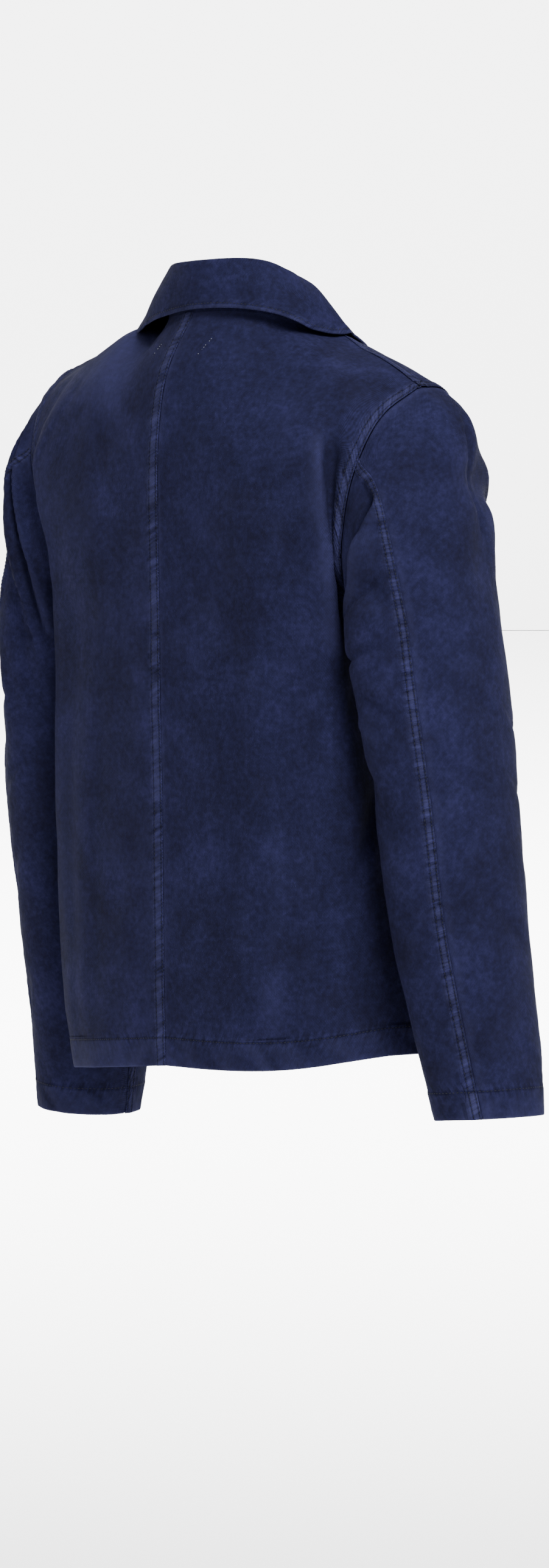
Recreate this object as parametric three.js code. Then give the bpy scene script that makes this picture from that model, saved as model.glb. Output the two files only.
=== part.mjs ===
// Chore jacket in garment-dyed cotton twill, worn and buttoned, as hollow cloth with no wearer.
// Millimetres, +Z up. The front faces -Y and the wearer's right side lies at -X.
// The origin is the middle of the neck between the shoulder seams, where the wearer carries the jacket.
import * as THREE from "three";

// Driving sizes of the cloth and the seams
const CLOTH = 1.5;
const COLLAR_CLOTH = 2.4;
const SEAM_GAP = 0.3;
const SHOULDER_GAP = 0.8;
const ARMHOLE_GAP = 1.7;
const PROBE = 0.01;
const ANGLE_PROBE = 2;
const QUARTER_TURN = 90;
const HALF_TURN = 180;
const FULL_TURN = 360;

// Driving sizes of the front closing
const BUTTON_STAND = 20;
const FRONT_OVERLAP_STEP = 3.2;
const OVERLAP_RAMP = 34;
const OVERLAP_DROP = { depth: 2, from: 0.86 };
const BUTTON_COUNT = 5;
const BUTTON_DIAMETER = 20;
const BUTTON_THICKNESS = 3;
const BUTTON_RIM = 0.6;
const BUTTON_HOLE_DIAMETER = 2.2;
const BUTTON_HOLE_SPACING = 4.4;
const BUTTON_SIDES = 20;
const BUTTON_HOLE_SIDES = 6;
const BUTTON_SEAT_GAP = 0.5;
const TOP_BUTTON_DROP = 34;
const BOTTOM_BUTTON_RISE = 130;

// The patch pockets lie on the front's own mesh lines: about 150 mm wide and 175 mm high
const POCKET = { firstColumn: 3, lastColumn: 12, firstRow: 2, lastRow: 8 };
const POCKET_CLOTH = 1.3;

// Driving sizes of the neck opening, the collar's fold line and the collar's outer edge, as half rings:
// half width, place of the middle, depths behind and before it, heights at back, side and front
const NECK = { half: 80, y: 32, back: 67, front: 100, backZ: 20.5, sideZ: 2.5, frontZ: -80, curve: 1.3 };
const FOLD = { half: 65, y: 48, back: 47, front: 98, backZ: 63, sideZ: 46, frontZ: -62, curve: 2 };
const LEAF = { half: 98, y: 42, back: 63, front: 100, backZ: 23, sideZ: -4.5, frontZ: -80, curve: 1.3 };
const LEAF_ON_FRONT = { seamAcross: 0.45, pointAcross: 0.7, pointAlong: 0.9, lift: 5.5, freeUntil: 76 };
const LEAF_BELLY = { share: 0.5, out: 0.5, rise: 3 };
const LEAF_ROLL = { share: 0.25, lift: 6.5, from: 86, turn: 34 };
const SHOULDER_CROWN = 6;
const LEFT_LEAF = { out: 24, down: 2, to: 130, fade: 50 };
const COLLAR_END_ANGLE = 173;
const SHOULDER_SEAM_ANGLE = 102;
const COLLAR_SEAT = 1.05;
const COLLAR_FOLD_RADIUS = 3.4;
const STAND_MIDDLE = 0.5;

// Asymmetry of the worn pose: the hem hangs lower on the wearer's left, where the shoulder is also higher
const HEM_TILT = { slope: 0.085, top: -250, rightReach: 190, rightPower: 3 };
const NECK_TILT = { slope: 0.08, lowest: -60, depth: 50, edge: 130, fade: 50 };
const LEFT_RISE = { height: 13, from: 62, inner: 52, to: 228, outer: 112, lowest: -200, depth: 150 };
const LEFT_REACH = { width: 28, from: 110, fade: 110, lowest: -190, depth: 90 };
const LEAF_RISE = { from: 50, turn: 30 };

// Mesh steps along and across the pieces
const PANEL = { backWidth: 250, frontWidth: 208, length: 700 };
const PLACE_PASSES = 24;
const PANEL_STEPS = { across: 15, along: 24 };
const SLEEVE_STEPS = { top: 14, under: 9, along: 22 };
const COLLAR_STEPS = { around: 36, profile: 12 };

// Level sections of the body from the hem up to the underarm: y of the centre back, x and y of the
// back's soft corner, of the side seam and of the chest's corner, and y of the centre front.
const SECTIONS = [
  { z: -612, back: 130, corner: [173, 85], side: [194, 8], chest: [156, -74], front: -114 },
  { z: -548, back: 132, corner: [183, 92], side: [191, 14], chest: [156, -76], front: -116 },
  { z: -465, back: 133, corner: [188, 95], side: [183, 22], chest: [154, -77], front: -116 },
  { z: -385, back: 134, corner: [190, 97], side: [176, 30], chest: [153, -78], front: -118 },
  { z: -312, back: 136, corner: [185, 100], side: [162, 37], chest: [152, -78], front: -120 },
  { z: -245, back: 137, corner: [180, 104], side: [153, 40], chest: [148, -76], front: -120 },
];

// Rows of the upper back from the underarm towards the shoulder: y and z of the centre seam, then x, y
// and z of the point under the neck's side, of the fold beside the armhole, and of the armhole's edge.
const BACK_ROWS = [
  { centre: [138, -190], near: [122, 132, -190], fold: [181, 108, -191], edge: [184, 93, -193] },
  { centre: [139, -135], near: [118, 133, -133], fold: [180, 115, -140], edge: [192, 98, -146] },
  { centre: [138, -82], near: [114, 119, -68], fold: [173, 111, -88], edge: [200, 92, -104] },
  { centre: [128, -28], near: [104, 70, -11], fold: [159, 80, -37], edge: [210, 73, -63] },
];

// Rows of the upper front, from the underarm towards the shoulder, in the same order of places.
const FRONT_ROWS = [
  { centre: [-119, -205], near: [98, -106, -195], fold: [138, -80, -193], edge: [152, -38, -196] },
  { centre: [-115, -173], near: [94, -98, -138], fold: [139, -78, -137], edge: [167, -53, -138] },
  { centre: [-107, -142], near: [94, -72, -76], fold: [148, -52, -72], edge: [192, -34, -90] },
  { centre: [-93, -111], near: [98, -30, -29], fold: [156, -2, -25], edge: [213, 4, -44] },
];
// Places of the points between a row's named ones: share of the way out, and of the way to its depth
const SECTION_BENDS = {
  innerBack: { out: 0.34, turn: 0.07 },
  outerBack: { out: 0.68, turn: 0.32 },
  outerFront: { out: 0.69, turn: 0.38 },
  innerFront: { out: 0.35, turn: 0.08 },
};
const ROW_BENDS = { turn: 0.24, backDrop: 0.4, frontDrop: 0.35 };
const SHOULDER_POINT = { x: 220, y: 40, z: -38 };
const UNDERARM_ROW = SECTIONS.length - 1;
const TOP_ROW = UNDERARM_ROW + BACK_ROWS.length + 1;
const STATIONS = 4;
const NECK_STATION = 2;

// Rings of the sleeve below the cap: centre, half widths across and fore-and-aft, and how far the
// outer side of the ring stands above its centre.
const SLEEVE_RINGS = [
  { x: 224, y: 43, z: -226, across: 51, fore: 71, tilt: 44 },
  { x: 234, y: 37, z: -300, across: 51, fore: 72, tilt: 18 },
  { x: 243, y: 31, z: -382, across: 51, fore: 68, tilt: 5 },
  { x: 244, y: 18, z: -484, across: 50, fore: 64, tilt: 0 },
  { x: 253, y: 4, z: -582, across: 46, fore: 57, tilt: -1 },
  { x: 262, y: -1, z: -645, across: 42, fore: 48, tilt: 3 },
];
const CAP = { share: 0.36, out: 17, leftOut: 6, rise: 15, fullness: 8, underOut: 7, seamOut: 2.8 };
const SLEEVE_SIZE = { length: 640, girth: 380, inner: 0.86 };
const LEFT_SLEEVE = { drop: 28, from: -200, depth: 450, slim: 0.95 };
const SLEEVE_ROWS = SLEEVE_RINGS.length + 1;
const REAR_SEAM = { armhole: 66, sleeve: 44, settle: 2.6 };
const UNDER_SEAM = 190;
const SLEEVE_FOLD_ROOM = 0.4;

// Largest folds, as soft ridges (height above zero) and troughs (below zero) that run between two
// places of a panel. Places are shares of the panel's rows, from 0 to 1 along and across.
const BACK_FOLDS = [
  { side: -1, fromU: 0.80, fromV: 0.92, toU: 0.86, toV: 0.52, width: 0.07, height: -5 },
  { side: 1, fromU: 0.82, fromV: 0.90, toU: 0.90, toV: 0.55, width: 0.07, height: -4 },
  { side: -1, fromU: 0.62, fromV: 0.50, toU: 0.55, toV: 0.05, width: 0.12, height: -4 },
  { side: 1, fromU: 0.55, fromV: 0.55, toU: 0.62, toV: 0.05, width: 0.12, height: -3 },
];
const FRONT_FOLDS = [
  { side: -1, fromU: 0.18, fromV: 0.80, toU: 0.30, toV: 0.45, width: 0.10, height: 5 },
  { side: 1, fromU: 0.16, fromV: 0.80, toU: 0.32, toV: 0.48, width: 0.10, height: 4 },
  { side: -1, fromU: 0.40, fromV: 0.55, toU: 0.46, toV: 0.10, width: 0.12, height: -4 },
  { side: 1, fromU: 0.42, fromV: 0.60, toU: 0.40, toV: 0.12, width: 0.12, height: -3 },
];
// Folds of the sleeves: angles round the sleeve in degrees from its outer side, places along it from
// 0 at the armhole to 1 at the cuff.
const SLEEVE_FOLDS = [
  { side: -1, fromAngle: 118, fromV: 0.17, toAngle: 60, toV: 0.30, width: 16, height: -7 },
  { side: -1, fromAngle: 150, fromV: 0.30, toAngle: 75, toV: 0.36, width: 13, height: -4 },
  { side: -1, fromAngle: 128, fromV: 0.52, toAngle: 80, toV: 0.62, width: 16, height: -4 },
  { side: -1, fromAngle: -60, fromV: 0.06, toAngle: -25, toV: 0.30, width: 14, height: -6 },
  { side: -1, fromAngle: -105, fromV: 0.12, toAngle: -25, toV: 0.21, width: 30, height: -9 },
  { side: 1, fromAngle: 48, fromV: 0.10, toAngle: 72, toV: 0.26, width: 24, height: 6 },
  { side: 1, fromAngle: 20, fromV: 0.10, toAngle: 105, toV: 0.40, width: 14, height: -9 },
  { side: 1, fromAngle: -8, fromV: 0.14, toAngle: 80, toV: 0.46, width: 13, height: 5 },
  { side: 1, fromAngle: -25, fromV: 0.22, toAngle: 50, toV: 0.50, width: 12, height: -7 },
];
const FOLD_END_SOFTNESS = 0.28;
const FOLD_ANGLE_LIMIT = 200;
const LEAST_FOLD = 0.01;
const PANEL_FADE = { hem: 0.05, top: 0.08, first: 0.06, last: 0.08 };
const SLEEVE_FADE = { armhole: 0.05, cuff: 0.06 };

// Colours and finishes
const NAVY = 0x23294a;
const NAVY_DARK = 0x1d2340;
const HORN = 0x1b1d2c;
const TWILL_ROUGHNESS = 0.92;
const HORN_ROUGHNESS = 0.45;

function twill(color) {
  return new THREE.MeshStandardMaterial({ color, roughness: TWILL_ROUGHNESS, metalness: 0 });
}

function horn() {
  return new THREE.MeshStandardMaterial({ color: HORN, roughness: HORN_ROUGHNESS, metalness: 0 });
}

function mix(a, b, share) {
  return a + (b - a) * share;
}

function smooth(share) {
  const s = Math.min(1, Math.max(0, share));
  return s * s * (3 - 2 * s);
}

function radians(degrees) {
  return THREE.MathUtils.degToRad(degrees);
}

// A smooth curve through equally spaced points, with the points before and after the ends given.
function curveAt(points, before, after, place) {
  const last = points.length - 1;
  const i = Math.min(last - 1, Math.max(0, Math.floor(place)));
  const t = place - i;
  const p1 = points[i];
  const p2 = points[i + 1];
  const p0 = i > 0 ? points[i - 1] : before;
  const p3 = i + 2 <= last ? points[i + 2] : after;
  const result = new THREE.Vector3();
  for (const axis of ["x", "y", "z"]) {
    const pull1 = (p2[axis] - p0[axis]) / 2;
    const pull2 = (p3[axis] - p1[axis]) / 2;
    const step = p1[axis] - p2[axis];
    const cubic = 2 * step + pull1 + pull2;
    const square = -3 * step - 2 * pull1 - pull2;
    result[axis] = ((cubic * t + square) * t + pull1) * t + p1[axis];
  }
  return result;
}

function beyond(end, inner) {
  return end.clone().multiplyScalar(2).sub(inner);
}

function mirrored(point) {
  return new THREE.Vector3(-point.x, point.y, point.z);
}

// A ring round the neck at an angle in degrees from the centre back, wearer's left side.
function neckRing(ring, angle) {
  const turn = radians(Math.min(angle, QUARTER_TURN));
  if (angle <= QUARTER_TURN) {
    const drop = (ring.backZ - ring.sideZ) * (1 - Math.cos(turn)) ** ring.curve;
    const y = ring.y + ring.back * Math.cos(turn);
    return new THREE.Vector3(ring.half * Math.sin(turn), y, ring.backZ - drop);
  }
  const past = radians(angle - QUARTER_TURN);
  const slope = (ring.backZ - ring.sideZ) * ring.curve;
  const rest = ring.sideZ - ring.frontZ - slope;
  const z = ring.sideZ - slope * Math.sin(past) - rest * (1 - Math.cos(past));
  return new THREE.Vector3(ring.half * Math.cos(past), ring.y - ring.front * Math.sin(past), z);
}

// The top edge of back and front: shoulder seam outside the neck station, neck seam inside it.
function shoulderLine(share) {
  const neck = neckRing(NECK, SHOULDER_SEAM_ANGLE);
  const end = new THREE.Vector3(SHOULDER_POINT.x, SHOULDER_POINT.y, SHOULDER_POINT.z);
  const point = neck.lerp(end, share);
  point.z += SHOULDER_CROWN * Math.sin(Math.PI * share);
  return point;
}

function backTop(station) {
  if (station <= NECK_STATION) return neckRing(NECK, (SHOULDER_SEAM_ANGLE * station) / NECK_STATION);
  return shoulderLine((station - NECK_STATION) / (STATIONS - NECK_STATION));
}

function frontTop(station) {
  if (station <= NECK_STATION) return shoulderLine(1 - station / NECK_STATION);
  const share = (station - NECK_STATION) / (STATIONS - NECK_STATION);
  return neckRing(NECK, mix(SHOULDER_SEAM_ANGLE, HALF_TURN, share));
}

// The whole half ring of a level section, centre back to centre front.
function sectionRing(row) {
  const point = (x, y) => new THREE.Vector3(x, y, row.z);
  const [cornerX, cornerY] = row.corner;
  const [chestX, chestY] = row.chest;
  const between = (x, centre, y, bend) => point(x * bend.out, mix(centre, y, bend.turn));
  return [
    point(0, row.back),
    between(cornerX, row.back, cornerY, SECTION_BENDS.innerBack),
    between(cornerX, row.back, cornerY, SECTION_BENDS.outerBack),
    point(cornerX, cornerY),
    point(...row.side),
    point(chestX, chestY),
    between(chestX, row.front, chestY, SECTION_BENDS.outerFront),
    between(chestX, row.front, chestY, SECTION_BENDS.innerFront),
    point(0, row.front),
  ];
}

// The stations of an upper row, from the centre seam to the armhole's edge.
function upperStations(row, drop) {
  const [centreY, centreZ] = row.centre;
  const [nearX, nearY, nearZ] = row.near;
  return [
    new THREE.Vector3(0, centreY, centreZ),
    new THREE.Vector3(nearX / 2, mix(centreY, nearY, ROW_BENDS.turn), mix(centreZ, nearZ, drop)),
    new THREE.Vector3(...row.near),
    new THREE.Vector3(...row.fold),
    new THREE.Vector3(...row.edge),
  ];
}

function rowPoint(kind, row, station) {
  const isBack = kind === "back";
  if (row === TOP_ROW) return isBack ? backTop(station) : frontTop(station);
  if (row <= UNDERARM_ROW) {
    const ring = sectionRing(SECTIONS[row]);
    const place = isBack ? station : station + STATIONS;
    return curveAt(ring, mirrored(ring[1]), mirrored(ring[ring.length - 2]), place);
  }
  const upper = row - UNDERARM_ROW - 1;
  if (isBack) {
    const stations = upperStations(BACK_ROWS[upper], ROW_BENDS.backDrop);
    return curveAt(stations, mirrored(stations[1]), beyond(stations[4], stations[3]), station);
  }
  const stations = upperStations(FRONT_ROWS[upper], ROW_BENDS.frontDrop).reverse();
  return curveAt(stations, beyond(stations[0], stations[1]), mirrored(stations[3]), station);
}

// A point of a body panel before the pose: across from its first edge (0) to its last (1), along from
// hem (0) to top (1). Past the centre front it runs on to the other side, at negative x.
function bodyShape(kind, across, along) {
  const over = kind === "front" && across > 1;
  const station = STATIONS * (over ? 2 - across : across);
  const column = [];
  for (let row = 0; row <= TOP_ROW; row += 1) column.push(rowPoint(kind, row, station));
  const before = beyond(column[0], column[1]);
  const place = along * TOP_ROW;
  if (place < UNDERARM_ROW) {
    // Below the underarm both panels bend alike at the side seam, whatever lies above it.
    const nearSide = smooth(kind === "back" ? station - (STATIONS - 1) : 1 - station);
    column[UNDERARM_ROW + 1].lerp(beyond(column[UNDERARM_ROW], column[UNDERARM_ROW - 1]), nearSide);
  }
  const after = beyond(column[TOP_ROW], column[TOP_ROW - 1]);
  const point = curveAt(column, before, after, place);
  if (over) point.x *= -1;
  return point;
}

function bodyPoint(kind, side, across, along) {
  const point = bodyShape(kind, across, along);
  point.x *= side;
  return worn(point);
}

// The worn pose's asymmetry, as one soft shift of space that every piece near the body takes up.
function worn(point, riseWeight = 1) {
  const { x, z } = point;
  const low = smooth((HEM_TILT.top - z) / (HEM_TILT.top - SECTIONS[0].z));
  const reached = x < 0 ? Math.min(1, (-x / HEM_TILT.rightReach) ** HEM_TILT.rightPower) : 1;
  const besideNeck = smooth((NECK_TILT.edge - Math.abs(x)) / NECK_TILT.fade);
  const neck = smooth((z - NECK_TILT.lowest) / NECK_TILT.depth) * besideNeck;
  point.z -= x * (HEM_TILT.slope * low * reached + NECK_TILT.slope * neck);
  if (x <= 0) return point;
  const rise = smooth((x - LEFT_RISE.from) / LEFT_RISE.inner) * smooth((LEFT_RISE.to - x) / LEFT_RISE.outer);
  point.z += riseWeight * LEFT_RISE.height * rise * smooth((z - LEFT_RISE.lowest) / LEFT_RISE.depth);
  const reach = smooth((x - LEFT_REACH.from) / LEFT_REACH.fade);
  point.x += LEFT_REACH.width * reach * smooth((z - LEFT_REACH.lowest) / LEFT_REACH.depth);
  return point;
}

function foldHeight(folds, side, across, along, acrossName, alongName) {
  let height = 0;
  for (const fold of folds) {
    if (fold.side !== side) continue;
    const dAcross = fold["to" + acrossName] - fold["from" + acrossName];
    const dAlong = fold["to" + alongName] - fold["from" + alongName];
    const place = (along - fold["from" + alongName]) / dAlong;
    const away = (across - fold["from" + acrossName] - dAcross * place) / fold.width;
    const ends = smooth((place + FOLD_END_SOFTNESS) / (2 * FOLD_END_SOFTNESS))
      * smooth((1 + FOLD_END_SOFTNESS - place) / (2 * FOLD_END_SOFTNESS));
    height += fold.height * Math.exp(-away * away) * ends;
  }
  return height;
}

// The outward direction of a surface at a place, from two short steps on it.
function outward(surface, u, v, turn) {
  const stepU = surface(u + PROBE, v).sub(surface(u - PROBE, v));
  const stepV = surface(u, v + PROBE).sub(surface(u, v - PROBE));
  return stepU.cross(stepV).multiplyScalar(turn).normalize();
}

// A body panel's middle surface with its folds, which fade out at the seams.
function bodySurface(kind, side) {
  const folds = kind === "back" ? BACK_FOLDS : FRONT_FOLDS;
  const plain = (u, v) => bodyPoint(kind, side, u, v);
  return (u, v) => {
    const fadeV = smooth(v / PANEL_FADE.hem) * smooth((1 - v) / PANEL_FADE.top);
    const fadeU = smooth(u / PANEL_FADE.first) * smooth(Math.abs(1 - u) / PANEL_FADE.last);
    const height = foldHeight(folds, side, u, v, "U", "V") * fadeU * fadeV;
    const point = plain(u, v);
    if (Math.abs(height) < LEAST_FOLD) return point;
    const inner = THREE.MathUtils.clamp(v, PROBE, 1 - PROBE);
    return point.addScaledVector(outward(plain, u, inner, -side), height);
  };
}

// Closes a middle surface into a cloth wall: two faces and the edges between them.
function clothWall(surface, normal, steps, thickness) {
  const [stepsU, stepsV] = steps;
  const positions = [];
  for (const half of [thickness / 2, -thickness / 2]) {
    for (let j = 0; j <= stepsV; j += 1) {
      for (let i = 0; i <= stepsU; i += 1) {
        const u = i / stepsU;
        const v = j / stepsV;
        const point = surface(u, v).addScaledVector(normal(u, v), half);
        positions.push(point.x, point.y, point.z);
      }
    }
  }
  const layer = (stepsU + 1) * (stepsV + 1);
  const at = (i, j, face) => face * layer + j * (stepsU + 1) + i;
  const faces = [];
  const quad = (a, b, c, d) => faces.push(a, b, c, a, c, d);
  const apart = (a, b) => Math.hypot(...[0, 1, 2].map((k) => positions[3 * a + k] - positions[3 * b + k]));
  for (let j = 0; j < stepsV; j += 1) {
    for (let i = 0; i < stepsU; i += 1) {
      const ring = [[i, j], [i + 1, j], [i + 1, j + 1], [i, j + 1]];
      const outer = ring.map(([k, l]) => at(k, l, 0));
      const inner = ring.map(([k, l]) => at(k, l, 1)).reverse();
      // The shorter diagonal follows the cloth's bend; the inner face is split along the same one.
      const turned = apart(outer[0], outer[2]) > apart(outer[1], outer[3]);
      quad(...(turned ? [...outer.slice(1), outer[0]] : outer));
      quad(...(turned ? inner : [...inner.slice(1), inner[0]]));
    }
  }
  for (let i = 0; i < stepsU; i += 1) {
    quad(at(i, 0, 1), at(i + 1, 0, 1), at(i + 1, 0, 0), at(i, 0, 0));
    quad(at(i, stepsV, 0), at(i + 1, stepsV, 0), at(i + 1, stepsV, 1), at(i, stepsV, 1));
  }
  for (let j = 0; j < stepsV; j += 1) {
    quad(at(0, j, 0), at(0, j + 1, 0), at(0, j + 1, 1), at(0, j, 1));
    quad(at(stepsU, j, 1), at(stepsU, j + 1, 1), at(stepsU, j + 1, 0), at(stepsU, j, 0));
  }
  return facingOut(positions, faces);
}

function facingOut(positions, faces) {
  const corner = (i) => new THREE.Vector3().fromArray(positions, 3 * i);
  let volume = 0;
  for (let i = 0; i < faces.length; i += 3) {
    volume += corner(faces[i]).dot(corner(faces[i + 1]).cross(corner(faces[i + 2])));
  }
  const turned = volume < 0 ? faces.slice().reverse() : faces;
  const geometry = new THREE.BufferGeometry();
  geometry.setAttribute("position", new THREE.Float32BufferAttribute(positions, 3));
  geometry.setIndex(turned);
  geometry.computeVertexNormals();
  return geometry;
}

// A panel's middle surface and outward direction, drawn in from its seams, with the step of the lower
// front under the upper one.
function panelSurface(kind, side) {
  const surface = bodySurface(kind, side);
  const isBack = kind === "back";
  const width = isBack ? PANEL.backWidth : PANEL.frontWidth;
  const gap = SEAM_GAP / 2 / width;
  const lastU = isBack ? 1 - gap : 1 + BUTTON_STAND / width;
  const middle = (u, v) => {
    const across = mix(gap, lastU, u);
    const point = surface(across, v * (1 - SHOULDER_GAP / PANEL.length));
    if (isBack || side > 0) return point;
    const reach = smooth(1 - (Math.abs(point.x) - BUTTON_STAND) / OVERLAP_RAMP);
    const under = across > 1 ? 1 : reach;
    point.y += FRONT_OVERLAP_STEP * under;
    point.z -= OVERLAP_DROP.depth * under * smooth((v - OVERLAP_DROP.from) / (1 - OVERLAP_DROP.from));
    return point;
  };
  const inside = (share) => THREE.MathUtils.clamp(share, PROBE, 1 - PROBE);
  const normal = (u, v) => outward(middle, inside(u), inside(v), -side);
  return { middle, normal };
}

function bodyPanel(kind, side) {
  const { middle, normal } = panelSurface(kind, side);
  return clothWall(middle, normal, [PANEL_STEPS.across, PANEL_STEPS.along], CLOTH);
}

// The armhole's loop at an angle from the shoulder, over the back to the underarm and up the front.
function armholePoint(side, angle) {
  const turn = ((angle % FULL_TURN) + FULL_TURN) % FULL_TURN;
  const span = TOP_ROW - UNDERARM_ROW;
  if (turn <= HALF_TURN) return bodyPoint("back", side, 1, (TOP_ROW - (span * turn) / HALF_TURN) / TOP_ROW);
  return bodyPoint("front", side, 0, (UNDERARM_ROW + (span * (turn - HALF_TURN)) / HALF_TURN) / TOP_ROW);
}

function sleeveRingPoint(ring, side, angle) {
  const turn = radians(angle);
  const reach = Math.cos(turn) < 0 ? SLEEVE_SIZE.inner : 1;
  const x = ring.x + ring.across * reach * Math.cos(turn);
  const drop = side > 0 ? LEFT_SLEEVE.drop * smooth((LEFT_SLEEVE.from - ring.z) / LEFT_SLEEVE.depth) : 0;
  const fore = side > 0 ? ring.fore * LEFT_SLEEVE.slim : ring.fore;
  const z = ring.z + ring.tilt * Math.cos(turn) - drop;
  return new THREE.Vector3(side * x, ring.y + fore * Math.sin(turn), z);
}

// A point of the sleeve: angle round it in degrees, along from the armhole (0) to the cuff (1).
function sleevePoint(side, angle, along) {
  const start = armholePoint(side, angle);
  const rings = SLEEVE_RINGS.map((ring) => sleeveRingPoint(ring, side, angle));
  const outer = (1 + Math.cos(radians(angle))) / 2;
  start.x += side * CAP.seamOut * (1 - outer);
  const cap = start.clone().lerp(rings[0], CAP.share);
  cap.x += side * mix(CAP.underOut, side > 0 ? CAP.leftOut : CAP.out, outer);
  cap.y += CAP.fullness * Math.sin(radians(angle));
  cap.z += CAP.rise * outer;
  const column = [start, cap, ...rings];
  const last = column.length - 1;
  const after = beyond(column[last], column[last - 1]);
  return curveAt(column, beyond(column[0], column[1]), after, along * SLEEVE_ROWS);
}

function sleeveSurface(side) {
  const plain = (angle, along) => sleevePoint(side, angle, along);
  return (angle, along) => {
    const wrapped = angle > FOLD_ANGLE_LIMIT ? angle - FULL_TURN : angle;
    const fade = smooth(along / SLEEVE_FADE.armhole) * smooth((1 - along) / SLEEVE_FADE.cuff);
    const height = foldHeight(SLEEVE_FOLDS, side, wrapped, along, "Angle", "V") * fade;
    const point = plain(angle, along);
    if (Math.abs(height) < LEAST_FOLD) return point;
    return point.addScaledVector(sleeveOutward(plain, side, angle, along), height);
  };
}

function sleeveOutward(surface, side, angle, along) {
  const inner = THREE.MathUtils.clamp(along, PROBE, 1 - PROBE);
  const round = surface(angle + ANGLE_PROBE, inner).sub(surface(angle - ANGLE_PROBE, inner));
  const down = surface(angle, inner + PROBE).sub(surface(angle, inner - PROBE));
  return round.cross(down).multiplyScalar(-side).normalize();
}

function rearSeamAngle(along) {
  return mix(REAR_SEAM.armhole, REAR_SEAM.sleeve, smooth((along * SLEEVE_ROWS) / REAR_SEAM.settle));
}

function sleevePiece(side, part) {
  const surface = sleeveSurface(side);
  const isTop = part === "top";
  const gap = ((SEAM_GAP / 2 + SLEEVE_FOLD_ROOM) * FULL_TURN) / SLEEVE_SIZE.girth;
  const around = (u, along) => {
    const rear = rearSeamAngle(along);
    if (isTop) return mix(UNDER_SEAM - FULL_TURN + gap, rear - gap, u);
    return mix(rear + gap, UNDER_SEAM - gap, u);
  };
  const middle = (u, v) => {
    const along = mix(ARMHOLE_GAP / SLEEVE_SIZE.length, 1, v);
    return surface(around(u, along), along);
  };
  const normal = (u, v) => {
    const along = mix(ARMHOLE_GAP / SLEEVE_SIZE.length, 1, v);
    return sleeveOutward(surface, side, around(u, along), along);
  };
  const steps = [isTop ? SLEEVE_STEPS.top : SLEEVE_STEPS.under, SLEEVE_STEPS.along];
  return clothWall(middle, normal, steps, CLOTH);
}

// The leaf's outer edge: a free ring behind the shoulder seams, and on the fronts it lies on their cloth.
function leafEdge(turn) {
  const free = neckRing(LEAF, Math.min(turn, SHOULDER_SEAM_ANGLE));
  const share = Math.max(0, turn - SHOULDER_SEAM_ANGLE) / (HALF_TURN - SHOULDER_SEAM_ANGLE);
  const across = mix(LEAF_ON_FRONT.seamAcross, LEAF_ON_FRONT.pointAcross, share);
  const along = mix(1 - PROBE, LEAF_ON_FRONT.pointAlong, share);
  const plain = (u, v) => bodyShape("front", u, v);
  const lying = plain(across, along).addScaledVector(outward(plain, across, along, -1), LEAF_ON_FRONT.lift);
  const onFront = (turn - LEAF_ON_FRONT.freeUntil) / (SHOULDER_SEAM_ANGLE - LEAF_ON_FRONT.freeUntil);
  return { edge: free.lerp(lying, smooth(onFront)), lift: outward(plain, across, along, -1) };
}

// A point of the collar: angle round the neck (negative on the wearer's right), and a share of its
// profile from the neck seam up the stand, over the fold and down the leaf.
function collarPoint(angle, share) {
  const side = angle < 0 ? -1 : 1;
  const turn = Math.abs(angle);
  const seam = neckRing(NECK, turn);
  const fold = neckRing(FOLD, turn);
  const { edge, lift } = leafEdge(turn);
  if (side > 0) {
    const swing = Math.sin(radians(Math.min(turn, QUARTER_TURN)));
    const flare = swing * smooth((LEFT_LEAF.to - turn) / LEFT_LEAF.fade);
    edge.x += LEFT_LEAF.out * flare;
    edge.z -= LEFT_LEAF.down * flare;
  }
  const away = edge.clone().sub(seam).setZ(0).normalize();
  const up = fold.clone().sub(seam).normalize();
  seam.addScaledVector(up, COLLAR_SEAT);
  const rise = (amount, out) => fold.clone().addScaledVector(up, amount).addScaledVector(away, out);
  const innerTop = rise(-COLLAR_FOLD_RADIUS, 0);
  const crown = rise(0, COLLAR_FOLD_RADIUS);
  const outerTop = rise(-COLLAR_FOLD_RADIUS, 2 * COLLAR_FOLD_RADIUS);
  const belly = outerTop.clone().lerp(edge, LEAF_BELLY.share).addScaledVector(away, LEAF_BELLY.out);
  belly.z += LEAF_BELLY.rise;
  // On the fronts the leaf rolls over the neck seam and then lies on the chest.
  const overSeam = seam.clone().lerp(edge, LEAF_ROLL.share).addScaledVector(lift, LEAF_ROLL.lift);
  belly.lerp(overSeam, smooth((turn - LEAF_ROLL.from) / LEAF_ROLL.turn));
  const profile = [seam, seam.clone().lerp(innerTop, STAND_MIDDLE), innerTop, crown, outerTop, belly, edge];
  const last = profile.length - 1;
  const point = curveAt(profile, beyond(seam, profile[1]), beyond(edge, belly), share * last);
  point.x *= side;
  // The seam rides up with the left shoulder, and the leaf only where it lies on it.
  const riding = smooth((turn - LEAF_RISE.from) / LEAF_RISE.turn);
  return worn(point, mix(1, riding, share));
}

function collar() {
  const angleAt = (u) => mix(-COLLAR_END_ANGLE, COLLAR_END_ANGLE, u);
  const middle = (u, v) => collarPoint(angleAt(u), v);
  const normal = (u, v) => outward(middle, THREE.MathUtils.clamp(u, PROBE, 1 - PROBE),
    THREE.MathUtils.clamp(v, PROBE, 1 - PROBE), 1);
  return clothWall(middle, normal, [COLLAR_STEPS.around, COLLAR_STEPS.profile], COLLAR_CLOTH);
}

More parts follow.
